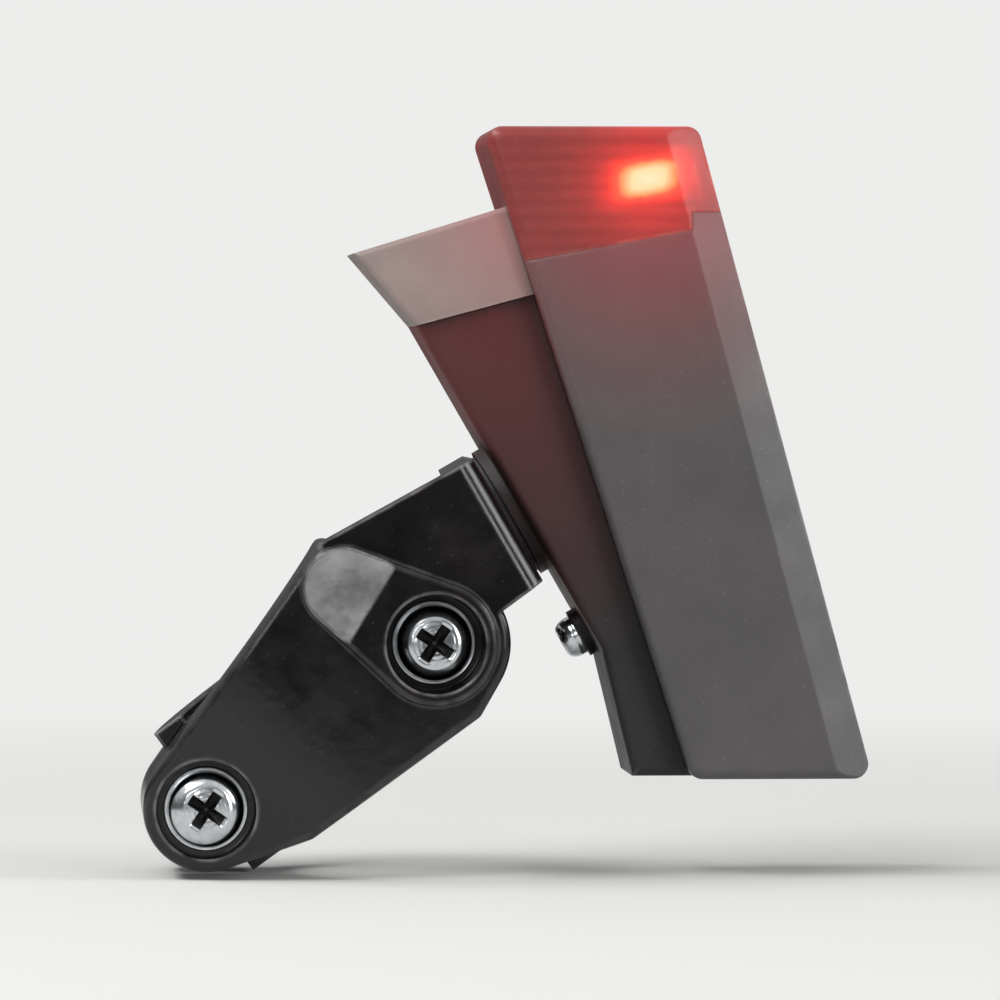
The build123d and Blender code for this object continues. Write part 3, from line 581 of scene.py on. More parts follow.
# ABS moulded in a spark-eroded tool: satin mid-grey with an even fine grain, drawn a little coarse so it shows.
# Near the lens it takes a painted red glow and painted shade.
SATIN_ABS = NearLightFinish(
    "moulded_satin_grey_abs", "#4D4A4B", "#454344", 14.0, 0.335, 0.05, edge=0.4, wear_and_highlight="#8B8886", specks="#7A7674",
    fleck=0.07, shade_reach=3.0, glow=Glow(near=7.0, reach=32.0, fall=1.9), lit="#7A1A1C", shaded="#443E40",
    relief=(Relief(0.32, 0.03), Relief(4.0, 0.02)))
# The same plastic on the pod between the flange and the lamp, duller, and painted darker for the shade that the pod
# stands in, with a painted red glow from the lens.
SHADED_POD_ABS = NearLightFinish(
    "moulded_grey_abs_painted_shade", "#282627", "#222021", 8.0, 0.5, 0.07, specular=0.32, edge=0.3, wear_and_highlight="#625E5C",
    specks="#565150", fleck=0.09, shade_reach=4.5, glow=Glow(middle=(19.0, -9.0, 52.0), near=6.0, reach=46.0, fall=1.1),
    lit="#531215", shaded="#1E1C1D", relief=(Relief(0.34, 0.035), Relief(3.0, 0.02)))
# Light warm grey ABS of the end block: smoother, as from a finer tool, with a little grime.
# Near the lens it takes a painted red glow and painted shade.
PALE_ABS = NearLightFinish(
    "moulded_light_grey_abs", "#90827E", "#817370", 5.0, 0.42, 0.06, edge=0.3, wear_and_highlight="#BDB3AE", specks="#6E645E",
    fleck=0.05, shade_reach=1.6, glow=Glow(middle=(20.5, -9.0, 54.0), near=2.0, reach=18.0, fall=1.5), lit="#641416",
    shaded="#867470", relief=(Relief(0.3, 0.025),))
# Red polycarbonate, polished: deep red, lets light through, faint flow lines.
RED_POLYCARBONATE = LensFinish(
    "clear_red_polycarbonate", "#B04A46", "#9E3E3B", 9.0, 0.32, 0.04, ior=1.585, specular=0.18, edge=0.45,
    wear_and_highlight="#CC827A", specks="#B87870", fleck=0.05, glow=Glow(fall=3.1),
    relief=(Relief(5.0, 0.02, stretch=(0.4, 1, 1)),))
# Frosted clear window over the LED, lit from behind.
LIT_WINDOW = LitFinish(
    "frosted_clear_polycarbonate", "#FFE9C8", "#FFD9A8", 2.0, 0.38, 0.1, ior=1.585, light="#FF9A60", strength=1.6,
    relief=(Relief(0.5, 0.01),))
# White moulded reflector, glossy inside.
WHITE_PLASTIC = Finish(
    "moulded_white_abs", "#E6E4DF", "#DAD7D0", 4.0, 0.34, 0.06, relief=(Relief(0.6, 0.003),))
# Ceramic LED package and its lit dome.
LED_CERAMIC = Finish("white_led_ceramic", "#EDE9E2", "#DDD8CF", 0.8, 0.5, 0.08, relief=(Relief(0.1, 0.003),))
LED_DOME = LitFinish(
    "lit_silicone_dome", "#FF6A4A", "#FF5A38", 0.7, 0.2, 0.05, ior=1.41, light="#FF5030", strength=9.0,
    relief=(Relief(0.3, 0.002),))
# Woven glass laminate under green mask.
BOARD_LAMINATE = LaminateFinish(
    "green_masked_laminate", "#14532F", "#0F4727", 6.0, 0.35, 0.06, coat=0.3, coat_roughness=0.1,
    relief=(Relief(0.4, 0.004),))
# Moulded epoxy packages and their tinned legs.
EPOXY = Finish("moulded_black_epoxy", "#232324", "#1C1C1D", 1.5, 0.55, 0.08, relief=(Relief(0.12, 0.004),))
TINNED = Finish(
    "tinned_copper", "#CFCFCB", "#BDBCB6", 0.7, 0.38, 0.1, metallic=1.0, relief=(Relief(0.2, 0.004),))
# Enamelled copper wire: warm red-brown with a clear varnish.
COPPER_WIRE = Finish(
    "enamelled_copper_wire", "#B4622F", "#9C4E22", 1.2, 0.36, 0.07, metallic=1.0, coat=0.5, coat_roughness=0.12,
    relief=(Relief(0.3, 0.002),))
# Undyed nylon, moulded: creamy and slightly waxy.
NATURAL_NYLON = Finish(
    "natural_nylon", "#DAD4C2", "#CDC6B2", 3.0, 0.42, 0.06, ior=1.53, relief=(Relief(0.4, 0.004),))
# Soft iron bar, sawn at its ends: dark grey with drawn streaks and a trace of rust.
SOFT_IRON = Finish(
    "soft_iron_bar", "#6C6864", "#7A5A48", 1.8, 0.42, 0.12, metallic=1.0,
    relief=(Relief(0.15, 0.006, stretch=(1, 0.06, 1)),))
# Heat-shrunk sleeve with a pale polarity band, and the bare can's end.
SHRINK_SLEEVE = SleeveFinish(
    "shrunk_blue_sleeve", "#1D2A55", "#18234A", 3.0, 0.2, 0.06, coat=0.2, relief=(Relief(1.2, 0.01),))
BARE_ALUMINIUM = Finish(
    "drawn_aluminium", "#C4C6C8", "#B2B4B7", 1.2, 0.36, 0.08, metallic=1.0,
    relief=(Relief(0.2, 0.004, Pattern.TURNING),))
# PVC on thin wires: glossy and even.
WIRE_INSULATION = Finish(
    "pvc_wire_insulation", "#A8201C", "#931814", 2.0, 0.36, 0.06, ior=1.53, relief=(Relief(0.3, 0.004),))


class Edge(Enum):
    """Forms of a turned piece's ring, as its radius at an angle."""

    ROUND = "round"
    CROSS = "cross recess"
    HEXAGON = "hexagon"
    SQUARE = "square with small corners"

    def reach(self, radius: float, angle: float) -> float:
        """Gives the ring's radius at an angle.

        Args:
            radius: the ring's radius, or half the distance across the flats, in mm.
            angle: angle round the axis.

        Returns:
            The radius there, in mm.
        """
        if self is Edge.ROUND:
            return radius
        half_side = math.pi / (6 if self is Edge.HEXAGON else 4)
        off = abs((angle + half_side) % (2 * half_side) - half_side)
        flat = radius / math.cos(off)
        if self is Edge.CROSS:
            return min(flat, radius * CROSS_ARM / max(math.sin(off), 1e-6))
        return min(flat, radius * NECK_CORNER) if self is Edge.SQUARE else flat


# Radius and height of each ring of a turned form in mm, and its edge where it isn't round.
Profile = Sequence[Pair | tuple[float, float, Edge]]


@dataclass
class Lathe:
    """Makes closed turned forms, threads and windings round the z axis, in mm."""

    segments: int = 48

    def turn(self, rings: Profile, bored: bool = False) -> BMesh:
        """Draws a form up ring by ring.

        Args:
            rings: the rings from one end of the profile to the other.
            bored: joins the last ring to the first instead of closing both ends.

        Returns:
            The closed form.
        """
        made = bmesh.new()
        bmesh.ops.create_circle(made, cap_ends=not bored, segments=self.segments, radius=1.0)
        first = loop = list(made.edges)
        self.shape(made.verts, *rings[0])
        for ring in rings[1:]:
            grown = bmesh.ops.extrude_edge_only(made, edges=loop)["geom"]
            loop = [g for g in grown if isinstance(g, BMEdge)]
            self.shape([g for g in grown if isinstance(g, BMVert)], *ring)
        if bored:
            bmesh.ops.bridge_loops(made, edges=first + loop)
        else:
            bmesh.ops.contextual_create(made, geom=loop)
        bmesh.ops.recalc_face_normals(made, faces=made.faces)
        return made

    def shape(self, verts: Iterable[BMVert], radius: float, height: float, edge: Edge = Edge.ROUND) -> None:
        """Moves a ring's points to its form.

        Args:
            verts: the points.
            radius: the ring's radius, or half the distance across its flats.
            height: its height.
            edge: its form.
        """
        for vert in verts:
            angle = math.atan2(vert.co.y, vert.co.x)
            reach = edge.reach(radius, angle)
            vert.co = (reach * math.cos(angle), reach * math.sin(angle), height)

    def helix(self, tooth: Sequence[Pair], pitch: float, low: float, high: float,
              inner: float = 0.0) -> BMesh:
        """Winds a tooth or a wire round the axis between two heights.

        Args:
            tooth: radius and share of the pitch for each point of one turn.
            pitch: height of one turn.
            low: lower end.
            high: upper end.
            inner: radius of the bore, or 0 for a solid bar.

        Returns:
            The closed form.
        """
        made = bmesh.new()
        # At least one and a half turns are drawn beyond each end, and cut off after the spin.
        turns = math.ceil((high - low) / pitch) + 3
        start = low - 1.5 * pitch
        tip = made.verts.new((tooth[0][0], 0, start))
        for count in range(turns):
            for radius, share in (*tooth[1:], (tooth[0][0], 1.0)):
                tip = bmesh.ops.extrude_vert_indiv(made, verts=[tip])["verts"][0]
                tip.co = (radius, 0, start + (count + share) * pitch)
        bmesh.ops.spin(made, geom=[*made.verts, *made.edges], cent=(0, 0, 0), axis=(0, 0, 1), angle=math.tau,
                       dvec=(0, 0, pitch / self.segments), steps=self.segments, use_merge=False, use_duplicate=False)
        bmesh.ops.remove_doubles(made, verts=made.verts, dist=1e-4)
        for height, way in ((low, -1), (high, 1)):
            geom = [*made.verts, *made.edges, *made.faces]
            bmesh.ops.bisect_plane(made, geom=geom, dist=1e-6, plane_co=(0, 0, height), plane_no=(0, 0, way),
                                   clear_outer=True)
        open_edges = [e for e in made.edges if e.is_boundary]
        ends = [[e for e in open_edges if abs(e.verts[0].co.z - h) < 0.01] for h in (low, high)]
        if inner:
            rims = []
            for height in (low, high):
                circle = bmesh.ops.create_circle(made, segments=self.segments, radius=inner)["verts"]
                for vert in circle:
                    vert.co.z = height
                rims.append(list({e for v in circle for e in v.link_edges}))
            for one, other in (*zip(ends, rims), rims):
                bmesh.ops.bridge_loops(made, edges=one + other)
        else:
            for end in ends:
                bmesh.ops.contextual_create(made, geom=end)
        bmesh.ops.recalc_face_normals(made, faces=made.faces)
        return made


def block(size: Triple, low: Triple, rounding: float = 0.0, segments: int = 2) -> BMesh:
    """Makes a block with softened edges.

    Args:
        size: width, depth and height in mm.
        low: middle of its lowest face.
        rounding: radius of its edges.
        segments: steps of the rounding.

    Returns:
        The block.
    """
    made = bmesh.new()
    bmesh.ops.create_cube(made, size=1.0)
    bmesh.ops.scale(made, vec=size, verts=made.verts)
    bmesh.ops.translate(made, vec=(low[0], low[1], low[2] + size[2] / 2), verts=made.verts)
    if rounding:
        bmesh.ops.bevel(made, geom=made.edges[:], offset=rounding, segments=segments, profile=0.5, affect="EDGES",
                        material=-1, clamp_overlap=True)
    return made


def second(forms: Sequence[BMesh]) -> Sequence[BMesh]:
    """Gives all faces of some forms their piece's second finish.

    Args:
        forms: the forms.

    Returns:
        The same forms.
    """
    for form in forms:
        for face in form.faces:
            face.material_index = 1
    return forms


def merged(parts: Iterable[BMesh]) -> BMesh:
    """Brings several forms together as one and frees them.

    Args:
        parts: the forms.

    Returns:
        All of them in one.
    """
    whole = bmesh.new()
    for part in parts:
        carrier = meshed("part", part)
        whole.from_mesh(carrier)
        bpy.data.meshes.remove(carrier)
    return whole


def meshed(name: str, form: BMesh) -> bpy.types.Mesh:
    """Turns a form into a mesh and frees it.

    Args:
        name: the mesh's name.
        form: the form.

    Returns:
        The mesh.
    """
    mesh = bpy.data.meshes.new(name)
    form.to_mesh(mesh)
    form.free()
    return mesh


def linked(name: str, data: bpy.types.ID) -> bpy.types.Object:
    """Puts a mesh, a lamp or a camera into the scene.

    Args:
        name: the new object's name.
        data: what it shows.

    Returns:
        The object.
    """
    made = bpy.data.objects.new(name, data)
    bpy.context.scene.collection.objects.link(made)
    return made


def mark_turning(form: BMesh) -> BMesh:
    """Writes the map that the turning marks follow: radius and height of each corner, in mm.

    Args:
        form: a form round the z axis.

    Returns:
        The same form.
    """
    layer = form.loops.layers.uv.new("turned")
    for face in form.faces:
        for loop in face.loops:
            spot = loop.vert.co
            loop[layer].uv = (math.hypot(spot.x, spot.y), spot.z)
    return form


def threaded(body: BMesh, thread: BMesh, radius: float, top: float, floor: float) -> BMesh:
    """Finishes a screw: turns its recess as in the CAD, gives it the second finish and adds the thread.

    Args:
        body: the screw round the z axis.
        thread: its thread.
        radius: the recess's reach.
        top: height of the head's top.
        floor: height of the recess's bottom.

    Returns:
        The whole screw.
    """
    # The recess's faces take the second finish, darker for grime and for painted shade.
    for face in body.faces:
        middle = face.calc_center_median()
        if math.hypot(middle.x, middle.y) < radius and floor - 0.05 < middle.z < top - 0.03:
            face.material_index = 1
    bmesh.ops.rotate(body, cent=(0, 0, 0), matrix=RECESS_TURN, verts=body.verts)
    return mark_turning(merged([body, thread]))


@dataclass
class Piece:
    """A piece that stands for a CAD node: its name, body, slot (not used) and the node, and the angle of its sharp
    edges.
    """

    name: str
    body: Body
    slot: str
    node: str
    sharp: float = 35.0

    def make(self, form: Callable[[], BMesh], spots: Sequence[Matrix], *finishes: Finish) -> None:
        """Makes the piece.

        Args:
            form: makes its form, in mm round its own z axis.
            spots: the places that the form is made anew at.
            *finishes: its finishes, in the order of its faces' material numbers.
        """
        forms = [form() for _ in spots]
        for part, spot in zip(forms, spots):
            part.transform(spot)
        made = linked(self.name, meshed(self.name, merged(forms)))
        mesh = made.data
        mesh.shade_smooth()
        mesh.set_sharp_from_angle(angle=math.radians(self.sharp))
        for finish in finishes:
            mesh.materials.append(finish.material())
        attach(made, self.body.value)
        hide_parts(self.node)
        log.info("%s: %d faces, stands for %s", self.name, len(mesh.polygons), self.node)


def dress(**finishes: Finish) -> None:
    """Gives carried-over CAD nodes their finishes.

    Args:
        **finishes: the finish of each node.
    """
    for node, finish in finishes.items():
        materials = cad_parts[node].data.materials
        materials.clear()
        materials.append(finish.material())
        log.info("%s: CAD node with %s", node, finish.name)


@dataclass
class Clamp:
    """Two shells with rubber halves inside, closed by two screws. Sizes in mm."""

    half_span: float = 15.0
    seat: float = 10.5
    washer_thickness: float = 0.8
    washer_radius: float = 4.5
    head_radius: float = 4.0
    head_height: float = 3.1
    recess_depth: float = 1.95
    shank_radius: float = 2.0
    root_radius: float = 1.66
    pitch: float = 0.7
    length: float = 20.0
    nut_flats: float = 7.0
    nut_low: float = -8.6
    nut_height: float = 3.2

    def thread(self, low: float, high: float) -> BMesh:
        """Cut thread between two heights."""
        root, crest = self.root_radius, self.shank_radius
        return Lathe(32).helix(((root, 0.0), (root, 0.12), (crest, 0.5), (crest, 0.62)), self.pitch, low, high)

    def screw(self) -> BMesh:
        """Makes a pan-head screw with a cross recess and a cut thread.

        Returns:
            The screw, its seat at z = 0.
        """
        r, h, shank, root, end = self.head_radius, self.head_height, self.shank_radius, self.root_radius, -self.length
        floor, cross = h - self.recess_depth, Edge.CROSS
        body = Lathe(120).turn((
            (0.2, floor), (0.62, h - 1.6), (1.2, h - 1.25, cross), (1.85, h - 0.55, cross), (2.12, h - 0.12, cross),
            (2.3, h - 0.02, cross), (2.6, h), (2.9, h - 0.12), (3.3, h - 0.42), (3.66, h - 0.85), (3.9, h - 1.35),
            (r, h - 1.8), (r, 0.16), (r - 0.14, 0.0), (2.35, 0.0), (shank, -0.25), (shank, -3.0), (root, -3.3),
            (root - 0.02, end + 0.4), (1.2, end)))
        return threaded(body, self.thread(end + 0.35, -3.2), 2.15, h, floor)

    def washer(self) -> BMesh:
        """Flat washer with a slight rounding, its seat at z = 0."""
        r, t = self.washer_radius, self.washer_thickness
        return mark_turning(Lathe(64).turn((
            (2.05, 0), (r - 0.12, 0), (r, 0.12), (r, t - 0.12), (r - 0.12, t), (2.15, t), (2.05, t - 0.1)), bored=True))

    def nut(self) -> BMesh:
        """Hexagon nut with chamfered corners and a threaded bore, its lower face at z = 0."""
        half, t, six = self.nut_flats / 2, self.nut_height, Edge.HEXAGON
        return mark_turning(Lathe(72).turn((
            (2.04, 0.35), (2.3, 0.0), (half * 0.94, 0.0), (half * 0.985, 0.12, six), (half, 0.34, six),
            (half, t - 0.34, six), (half * 0.985, t - 0.12, six), (half * 0.94, t), (2.3, t), (2.04, t - 0.35)),
            bored=True))

    def build(self) -> None:
        """Makes the clamp's pieces and dresses its shells and rubber."""
        for name, node, form, low, finishes in (
                ("clamp_screw_pair", "clamp_screws", self.screw, self.seat + self.washer_thickness,
                 (ZINC_STEEL, GRIME_AND_SHADE_STEEL)),
                ("clamp_washer_pair", "clamp_washers", self.washer, self.seat, (ZINC_STEEL,)),
                ("clamp_nut_pair", "clamp_nuts", self.nut, self.nut_low, (ZINC_STEEL,))):
            spots = [Axes.CLAMP.at(side * self.half_span, 0, low) for side in (-1, 1)]
            Piece(name, Body.BRACKET, "bright_steel", node).make(form, spots, *finishes)
        dress(clamp_outer_shell=GLOSS_NYLON, clamp_inner_shell=GLOSS_NYLON, liner_outer=LINER_RUBBER,
              liner_inner=LINER_RUBBER)


@dataclass
class Swivel:
    """Bolt, disc, washer and nut between the flange and the lamp. Sizes in mm, along the swivel's axis."""

    disc_radius: float = 7.0
    disc_thickness: float = 0.8
    teeth: int = 24
    tooth_depth: float = 0.2
    flange: float = 3.0
    head_low: float = 3.6
    head_radius: float = 3.5
    head_height: float = 2.6
    neck: float = 2.0
    tail: float = 7.9
    play: float = 0.02
    clamp: Clamp = field(default_factory=Clamp)

    def bolt(self) -> BMesh:
        """Makes a square-neck bolt with a low head and a cut thread.

        Returns:
            The bolt, the lamp's side of the flange at z = 0.
        """
        low, top, r, end = self.head_low, self.head_low + self.head_height, self.head_radius, -self.tail
        shank, root, neck_end = self.clamp.shank_radius, self.clamp.root_radius, -self.flange + 0.2
        body = Lathe().turn((
            (1.2, top), (r - 0.7, top), (r - 0.2, top - 0.25), (r, top - 0.6), (r, low + 0.1), (r - 0.1, low),
            (shank, low), (shank, -0.1), (self.neck, -0.1, Edge.SQUARE), (self.neck, neck_end, Edge.SQUARE),
            (root, neck_end), (root - 0.02, end + 0.4), (1.2, end)))
        return mark_turning(merged([body, self.clamp.thread(end + 0.35, -self.flange + 0.1)]))

    def disc(self) -> BMesh:
        """Makes a rubber disc with radial teeth on the lamp's side.

        Returns:
            The disc.
        """
        t, r = self.disc_thickness, self.disc_radius
        made = Lathe(self.teeth * 4).turn((
            (2.05, 0), (r - 0.1, 0), (r, 0.1), (r, t - 0.1), (r - 0.1, t), (6.5, t), (4.2, t), (3.9, t), (2.15, t),
            (2.05, t - 0.1)), bored=True)
        for vert in made.verts:
            reach = math.hypot(vert.co.x, vert.co.y)
            share = (math.atan2(vert.co.y, vert.co.x) / math.tau * self.teeth) % 1
            if 4.1 < reach < 6.6 and vert.co.z > t - 0.01 and share > 0.49:
                vert.co.z -= self.tooth_depth
        return made

    def build(self) -> None:
        """Makes the swivel's pieces."""
        # The washer stands a hair off the flange, so it slides along the slot without touching it.
        seat = -self.flange - self.play - self.clamp.washer_thickness
        for name, node, slot, finish, form, low in (
                ("square_neck_bolt", "swivel_bolt", "bright_steel", ZINC_STEEL, self.bolt, 0),
                ("toothed_disc", "friction_disc", "friction_rubber", FRICTION_RUBBER, self.disc, 0),
                ("flange_washer", "swivel_washer", "bright_steel", ZINC_STEEL, self.clamp.washer, seat),
                ("flange_nut", "swivel_nut", "bright_steel", ZINC_STEEL, self.clamp.nut,
                 seat - self.clamp.nut_height)):
            Piece(name, Body.CARRIAGE, slot, node).make(form, [Axes.SWIVEL.at(z=low)], finish)


@dataclass(frozen=True)
class ScrewSet:
    """Equal small pan-head screws with cross recesses: their piece, node, places in mm and sizes in mm."""

    name: str
    node: str
    axes: Axes
    sites: tuple[Pair, ...]
    seat: float
    radius: float
    length: float
    head: float
    height: float

    def screw(self) -> BMesh:
        """Makes one of the screws.

        Returns:
            The screw, its seat at z = 0 and its head above.
        """
        head, height, radius, cross = self.head, self.height, self.radius, Edge.CROSS
        recess, root, end = head * 0.54, radius * 0.78, -self.length
        body = Lathe(72).turn((
            (recess * 0.12, height * 0.42), (recess * 0.3, height * 0.5), (recess * 0.62, height * 0.6, cross),
            (recess, height * 0.92, cross), (recess * 1.06, height * 0.99, cross), (head * 0.66, height),
            (head * 0.82, height * 0.9), (head * 0.95, height * 0.66), (head, height * 0.4), (head, 0.06),
            (head - 0.06, 0.0), (radius, 0.0), (radius, -0.3), (root, -0.5), (root, end + radius), (0.25, end)))
        tooth = ((root, 0.0), (root, 0.45), (radius, 0.68), (radius, 0.76))
        thread = Lathe(20).helix(tooth, radius * 0.8, end + radius, -0.4)
        return threaded(body, thread, recess, height, height * 0.42)

    def build(self) -> None:
        """Makes the screws and puts them in place."""
        spots = [self.axes.at(x, y, self.seat, flipped=True) for x, y in self.sites]
        Piece(self.name, Body.LAMP, "bright_steel", self.node).make(self.screw, spots, ZINC_STEEL, GRIME_AND_SHADE_STEEL)


@dataclass
class SmallScrews:
    """Screws of the cover, the board and the pod."""

    sets: tuple[ScrewSet, ...] = (
        ScrewSet("cover_screw_pair", "cover_screws", Axes.SIDE, ((8.495, 22.0), (21.931, -19.6)), -9.5,
                 radius=1.1, length=9.0, head=2.1, height=1.3),
        ScrewSet("board_screw_pair", "board_screws", Axes.SIDE, ((17.021, 22.5), (27.84, -14.0)), 5.8,
                 radius=0.9, length=5.0, head=1.7, height=1.2),
        ScrewSet("pod_screw_turned", "pod_screw", Axes.SWIVEL, ((-15.2, 0),), 1.0,
                 radius=1.25, length=11.0, head=2.2, height=2.0))

    def build(self) -> None:
        """Makes every set."""
        for screws in self.sets:
            screws.build()


@dataclass
class LampShell:
    """Housing, cover, lens, pod, cap and seals: the CAD forms with their finishes."""

    def build(self) -> None:
        """Dresses the lamp's outer pieces."""
        dress(housing=SATIN_ABS, back_cover=SATIN_ABS, lens=RED_POLYCARBONATE, pod_shell=SHADED_POD_ABS, pod_cap=PALE_ABS,
              lens_seal=LINER_RUBBER, cover_seal=LINER_RUBBER)


@dataclass
class Optics:
    """LED, reflector and window, stacked on the board. Sizes in mm, from the side view."""

    x: float = 15.038
    y: float = 36.1
    board: float = 7.0
    window: Pair = (7.7, 4.3)
    window_low: float = 2.1
    window_top: float = 3.55
    pillows: tuple[Pair, ...] = ((0.18, 0.1), (0.22, 0.08), (0.25, 0.04))

    def window_form(self) -> BMesh:
        """Makes a window with two rows of four pillow optics on its outer face.

        Returns:
            The window.
        """
        wide, deep = self.window
        flat = self.window_top - self.window_low - sum(rise for _, rise in self.pillows)
        made = block((wide, deep, flat), (0, 0, self.window_low))
        for axis, size, cuts in ((0, wide, 3), (1, deep, 1)):
            edges = [e for e in made.edges if abs(e.verts[0].co[axis] - e.verts[1].co[axis]) > size / 2]
            bmesh.ops.subdivide_edges(made, edges=edges, cuts=cuts, use_grid_fill=True)
        top = [f for f in made.faces if f.normal.z > 0.9]
        for inset, rise in self.pillows:
            bmesh.ops.inset_individual(made, faces=top, thickness=inset, depth=0.0, use_even_offset=True)
            bmesh.ops.translate(made, vec=(0, 0, rise), verts=list({v for f in top for v in f.verts}))
        return made

    def led_form(self) -> BMesh:
        """Makes a ceramic package with solder pads, a ring and a lit dome.

        Returns:
            The package, its dome with the second finish.
        """
        base = block((3.5, 2.8, 0.62), (0, 0, 0.06), 0.08)
        pads = [block((0.7, 2.5, 0.14), (side * 1.35, 0, 0.0), 0.03) for side in (-1, 1)]
        ring = Lathe(36).turn(((1.02, 0.66), (1.28, 0.66), (1.28, 0.76), (1.05, 0.76)), bored=True)
        dome = Lathe(36).turn(((1.0, 0.6), (1.0, 0.72), (0.9, 0.86), (0.6, 0.96), (0.2, 0.995)))
        return merged([base, *pads, ring, *second([dome])])

    def build(self) -> None:
        """Makes the optics."""
        spots = [Axes.SIDE.at(self.x, self.y, self.board)]
        Piece("led_package", Body.LAMP, "led_emitter", "led").make(self.led_form, spots, LED_CERAMIC, LED_DOME)
        Piece("pillow_window", Body.LAMP, "window", "light_window").make(self.window_form, spots, LIT_WINDOW)
        dress(reflector=WHITE_PLASTIC)


@dataclass
class Electronics:
    """Board, chip, diodes, coil and storage capacitor. Sizes in mm, from the side and swivel views."""

    board: float = 7.0
    chip: Pair = (22.911, 6.0)
    legs: int = 4
    leg_pitch: float = 1.2
    diodes: tuple[float, ...] = (25.64, 26.32, 27.0, 27.686)
    diode_top: float = -2.0
    diode_pitch: float = 2.3
    coil: Pair = (20.351, 3.0)
    winding: Triple = (3.5, 6.659, 0.34)
    winding_ends: Pair = (-7.5, 4.8)
    store_low: float = 7.0
    store_length: float = 11.6
    store_radius: float = 3.8
    store_out: float = 7.4

    def chip_form(self) -> BMesh:
        """Makes an eight-legged package with bent legs and a dimple.

        Returns:
            The package, its legs with the second finish.
        """
        body = block((5.0, 3.9, 1.3), (0, 0, 0.2), 0.12)
        dimple = Lathe(20).turn(((0.3, 1.5), (0.3, 1.51), (0.22, 1.46)))
        # Shoulder, shin and foot of a leg: depth, height, and the middle of its lowest face.
        bends = ((0.36, 0.16, 2.02, 0.62), (0.16, 0.62, 2.2, 0.08), (0.5, 0.14, 2.42, 0.0))
        legs = [block((0.4, deep, tall), (self.leg_pitch * (count - (self.legs - 1) / 2), side * out, low), 0.03, 1)
                for count in range(self.legs) for side in (-1, 1) for deep, tall, out, low in bends]
        return merged([body, dimple, *second(legs)])

    def diode_forms(self) -> BMesh:
        """Makes four small packages with tinned ends.

        Returns:
            The packages, their ends with the second finish.
        """
        made = []
        for count, x in enumerate(self.diodes):
            y = self.diode_top - self.diode_pitch * count
            ends = [block((0.3, 0.9, 0.5), (x + side * 1.14, y, self.board), 0.04, 1) for side in (-1, 1)]
            made += [block((2.1, 1.4, 1.0), (x, y, self.board + 0.1), 0.1), *second(ends)]
        return merged(made)

    def winding_form(self) -> BMesh:
        """Makes the outer layer of wire, wound side by side in one long helix.

        Returns:
            The winding.
        """
        inner, outer, wire = self.winding
        depth = wire * 0.5
        bulge = [(outer - depth + depth * math.sin(math.pi * s), s) for s in (0.0, 0.2, 0.4, 0.6, 0.8)]
        return Lathe(56).helix(bulge, wire, *self.winding_ends, inner)

    def can_form(self) -> BMesh:
        """Makes a sleeved can with a crimped groove at its rubber end and a bare top.

        Returns:
            The can, its top with the second finish and its rubber end with the third.
        """
        r, top = self.store_radius, self.store_length
        made = Lathe(64).turn((
            (1.6, 0.25), (r - 0.7, 0.25), (r - 0.6, 0.0), (r - 0.28, 0.0), (r - 0.05, 0.18), (r - 0.05, 1.5),
            (r - 0.34, 1.9), (r - 0.34, 2.25), (r - 0.05, 2.65), (r, 3.1), (r, top - 0.55), (r - 0.16, top - 0.16),
            (r - 0.5, top - 0.04), (r - 0.8, top - 0.06), (r - 0.85, top - 0.2), (1.2, top - 0.2)))
        for face in made.faces:
            middle = face.calc_center_median()
            if math.hypot(middle.x, middle.y) < r - 0.45:
                face.material_index = 1 if middle.z > top / 2 else 2
        return mark_turning(made)

    def build(self) -> None:
        """Makes the electronics."""
        dress(circuit_board=BOARD_LAMINATE)
        Piece("eight_leg_chip", Body.LAMP, "chip_black", "controller_chip").make(
            self.chip_form, [Axes.SIDE.at(*self.chip, self.board)], EPOXY, TINNED)
        Piece("diode_bridge", Body.LAMP, "chip_black", "rectifier_diodes").make(
            self.diode_forms, [Axes.SIDE.at()], EPOXY, TINNED)
        Piece("wound_wire", Body.LAMP, "coil_copper", "coil_winding").make(
            self.winding_form, [Axes.SIDE.at(*self.coil)], COPPER_WIRE)
        dress(coil_bobbin=NATURAL_NYLON, iron_core=SOFT_IRON, coil_leads=WIRE_INSULATION,
              capacitor_leads=WIRE_INSULATION)
        stand = Axes.SWIVEL.at(self.store_low, 0, self.store_out) @ Matrix.Rotation(math.pi / 2, 4, "Y")
        Piece("sleeved_capacitor", Body.LAMP, "store_sleeve", "storage_capacitor").make(
            self.can_form, [stand], SHRINK_SLEEVE, BARE_ALUMINIUM, LINER_RUBBER)


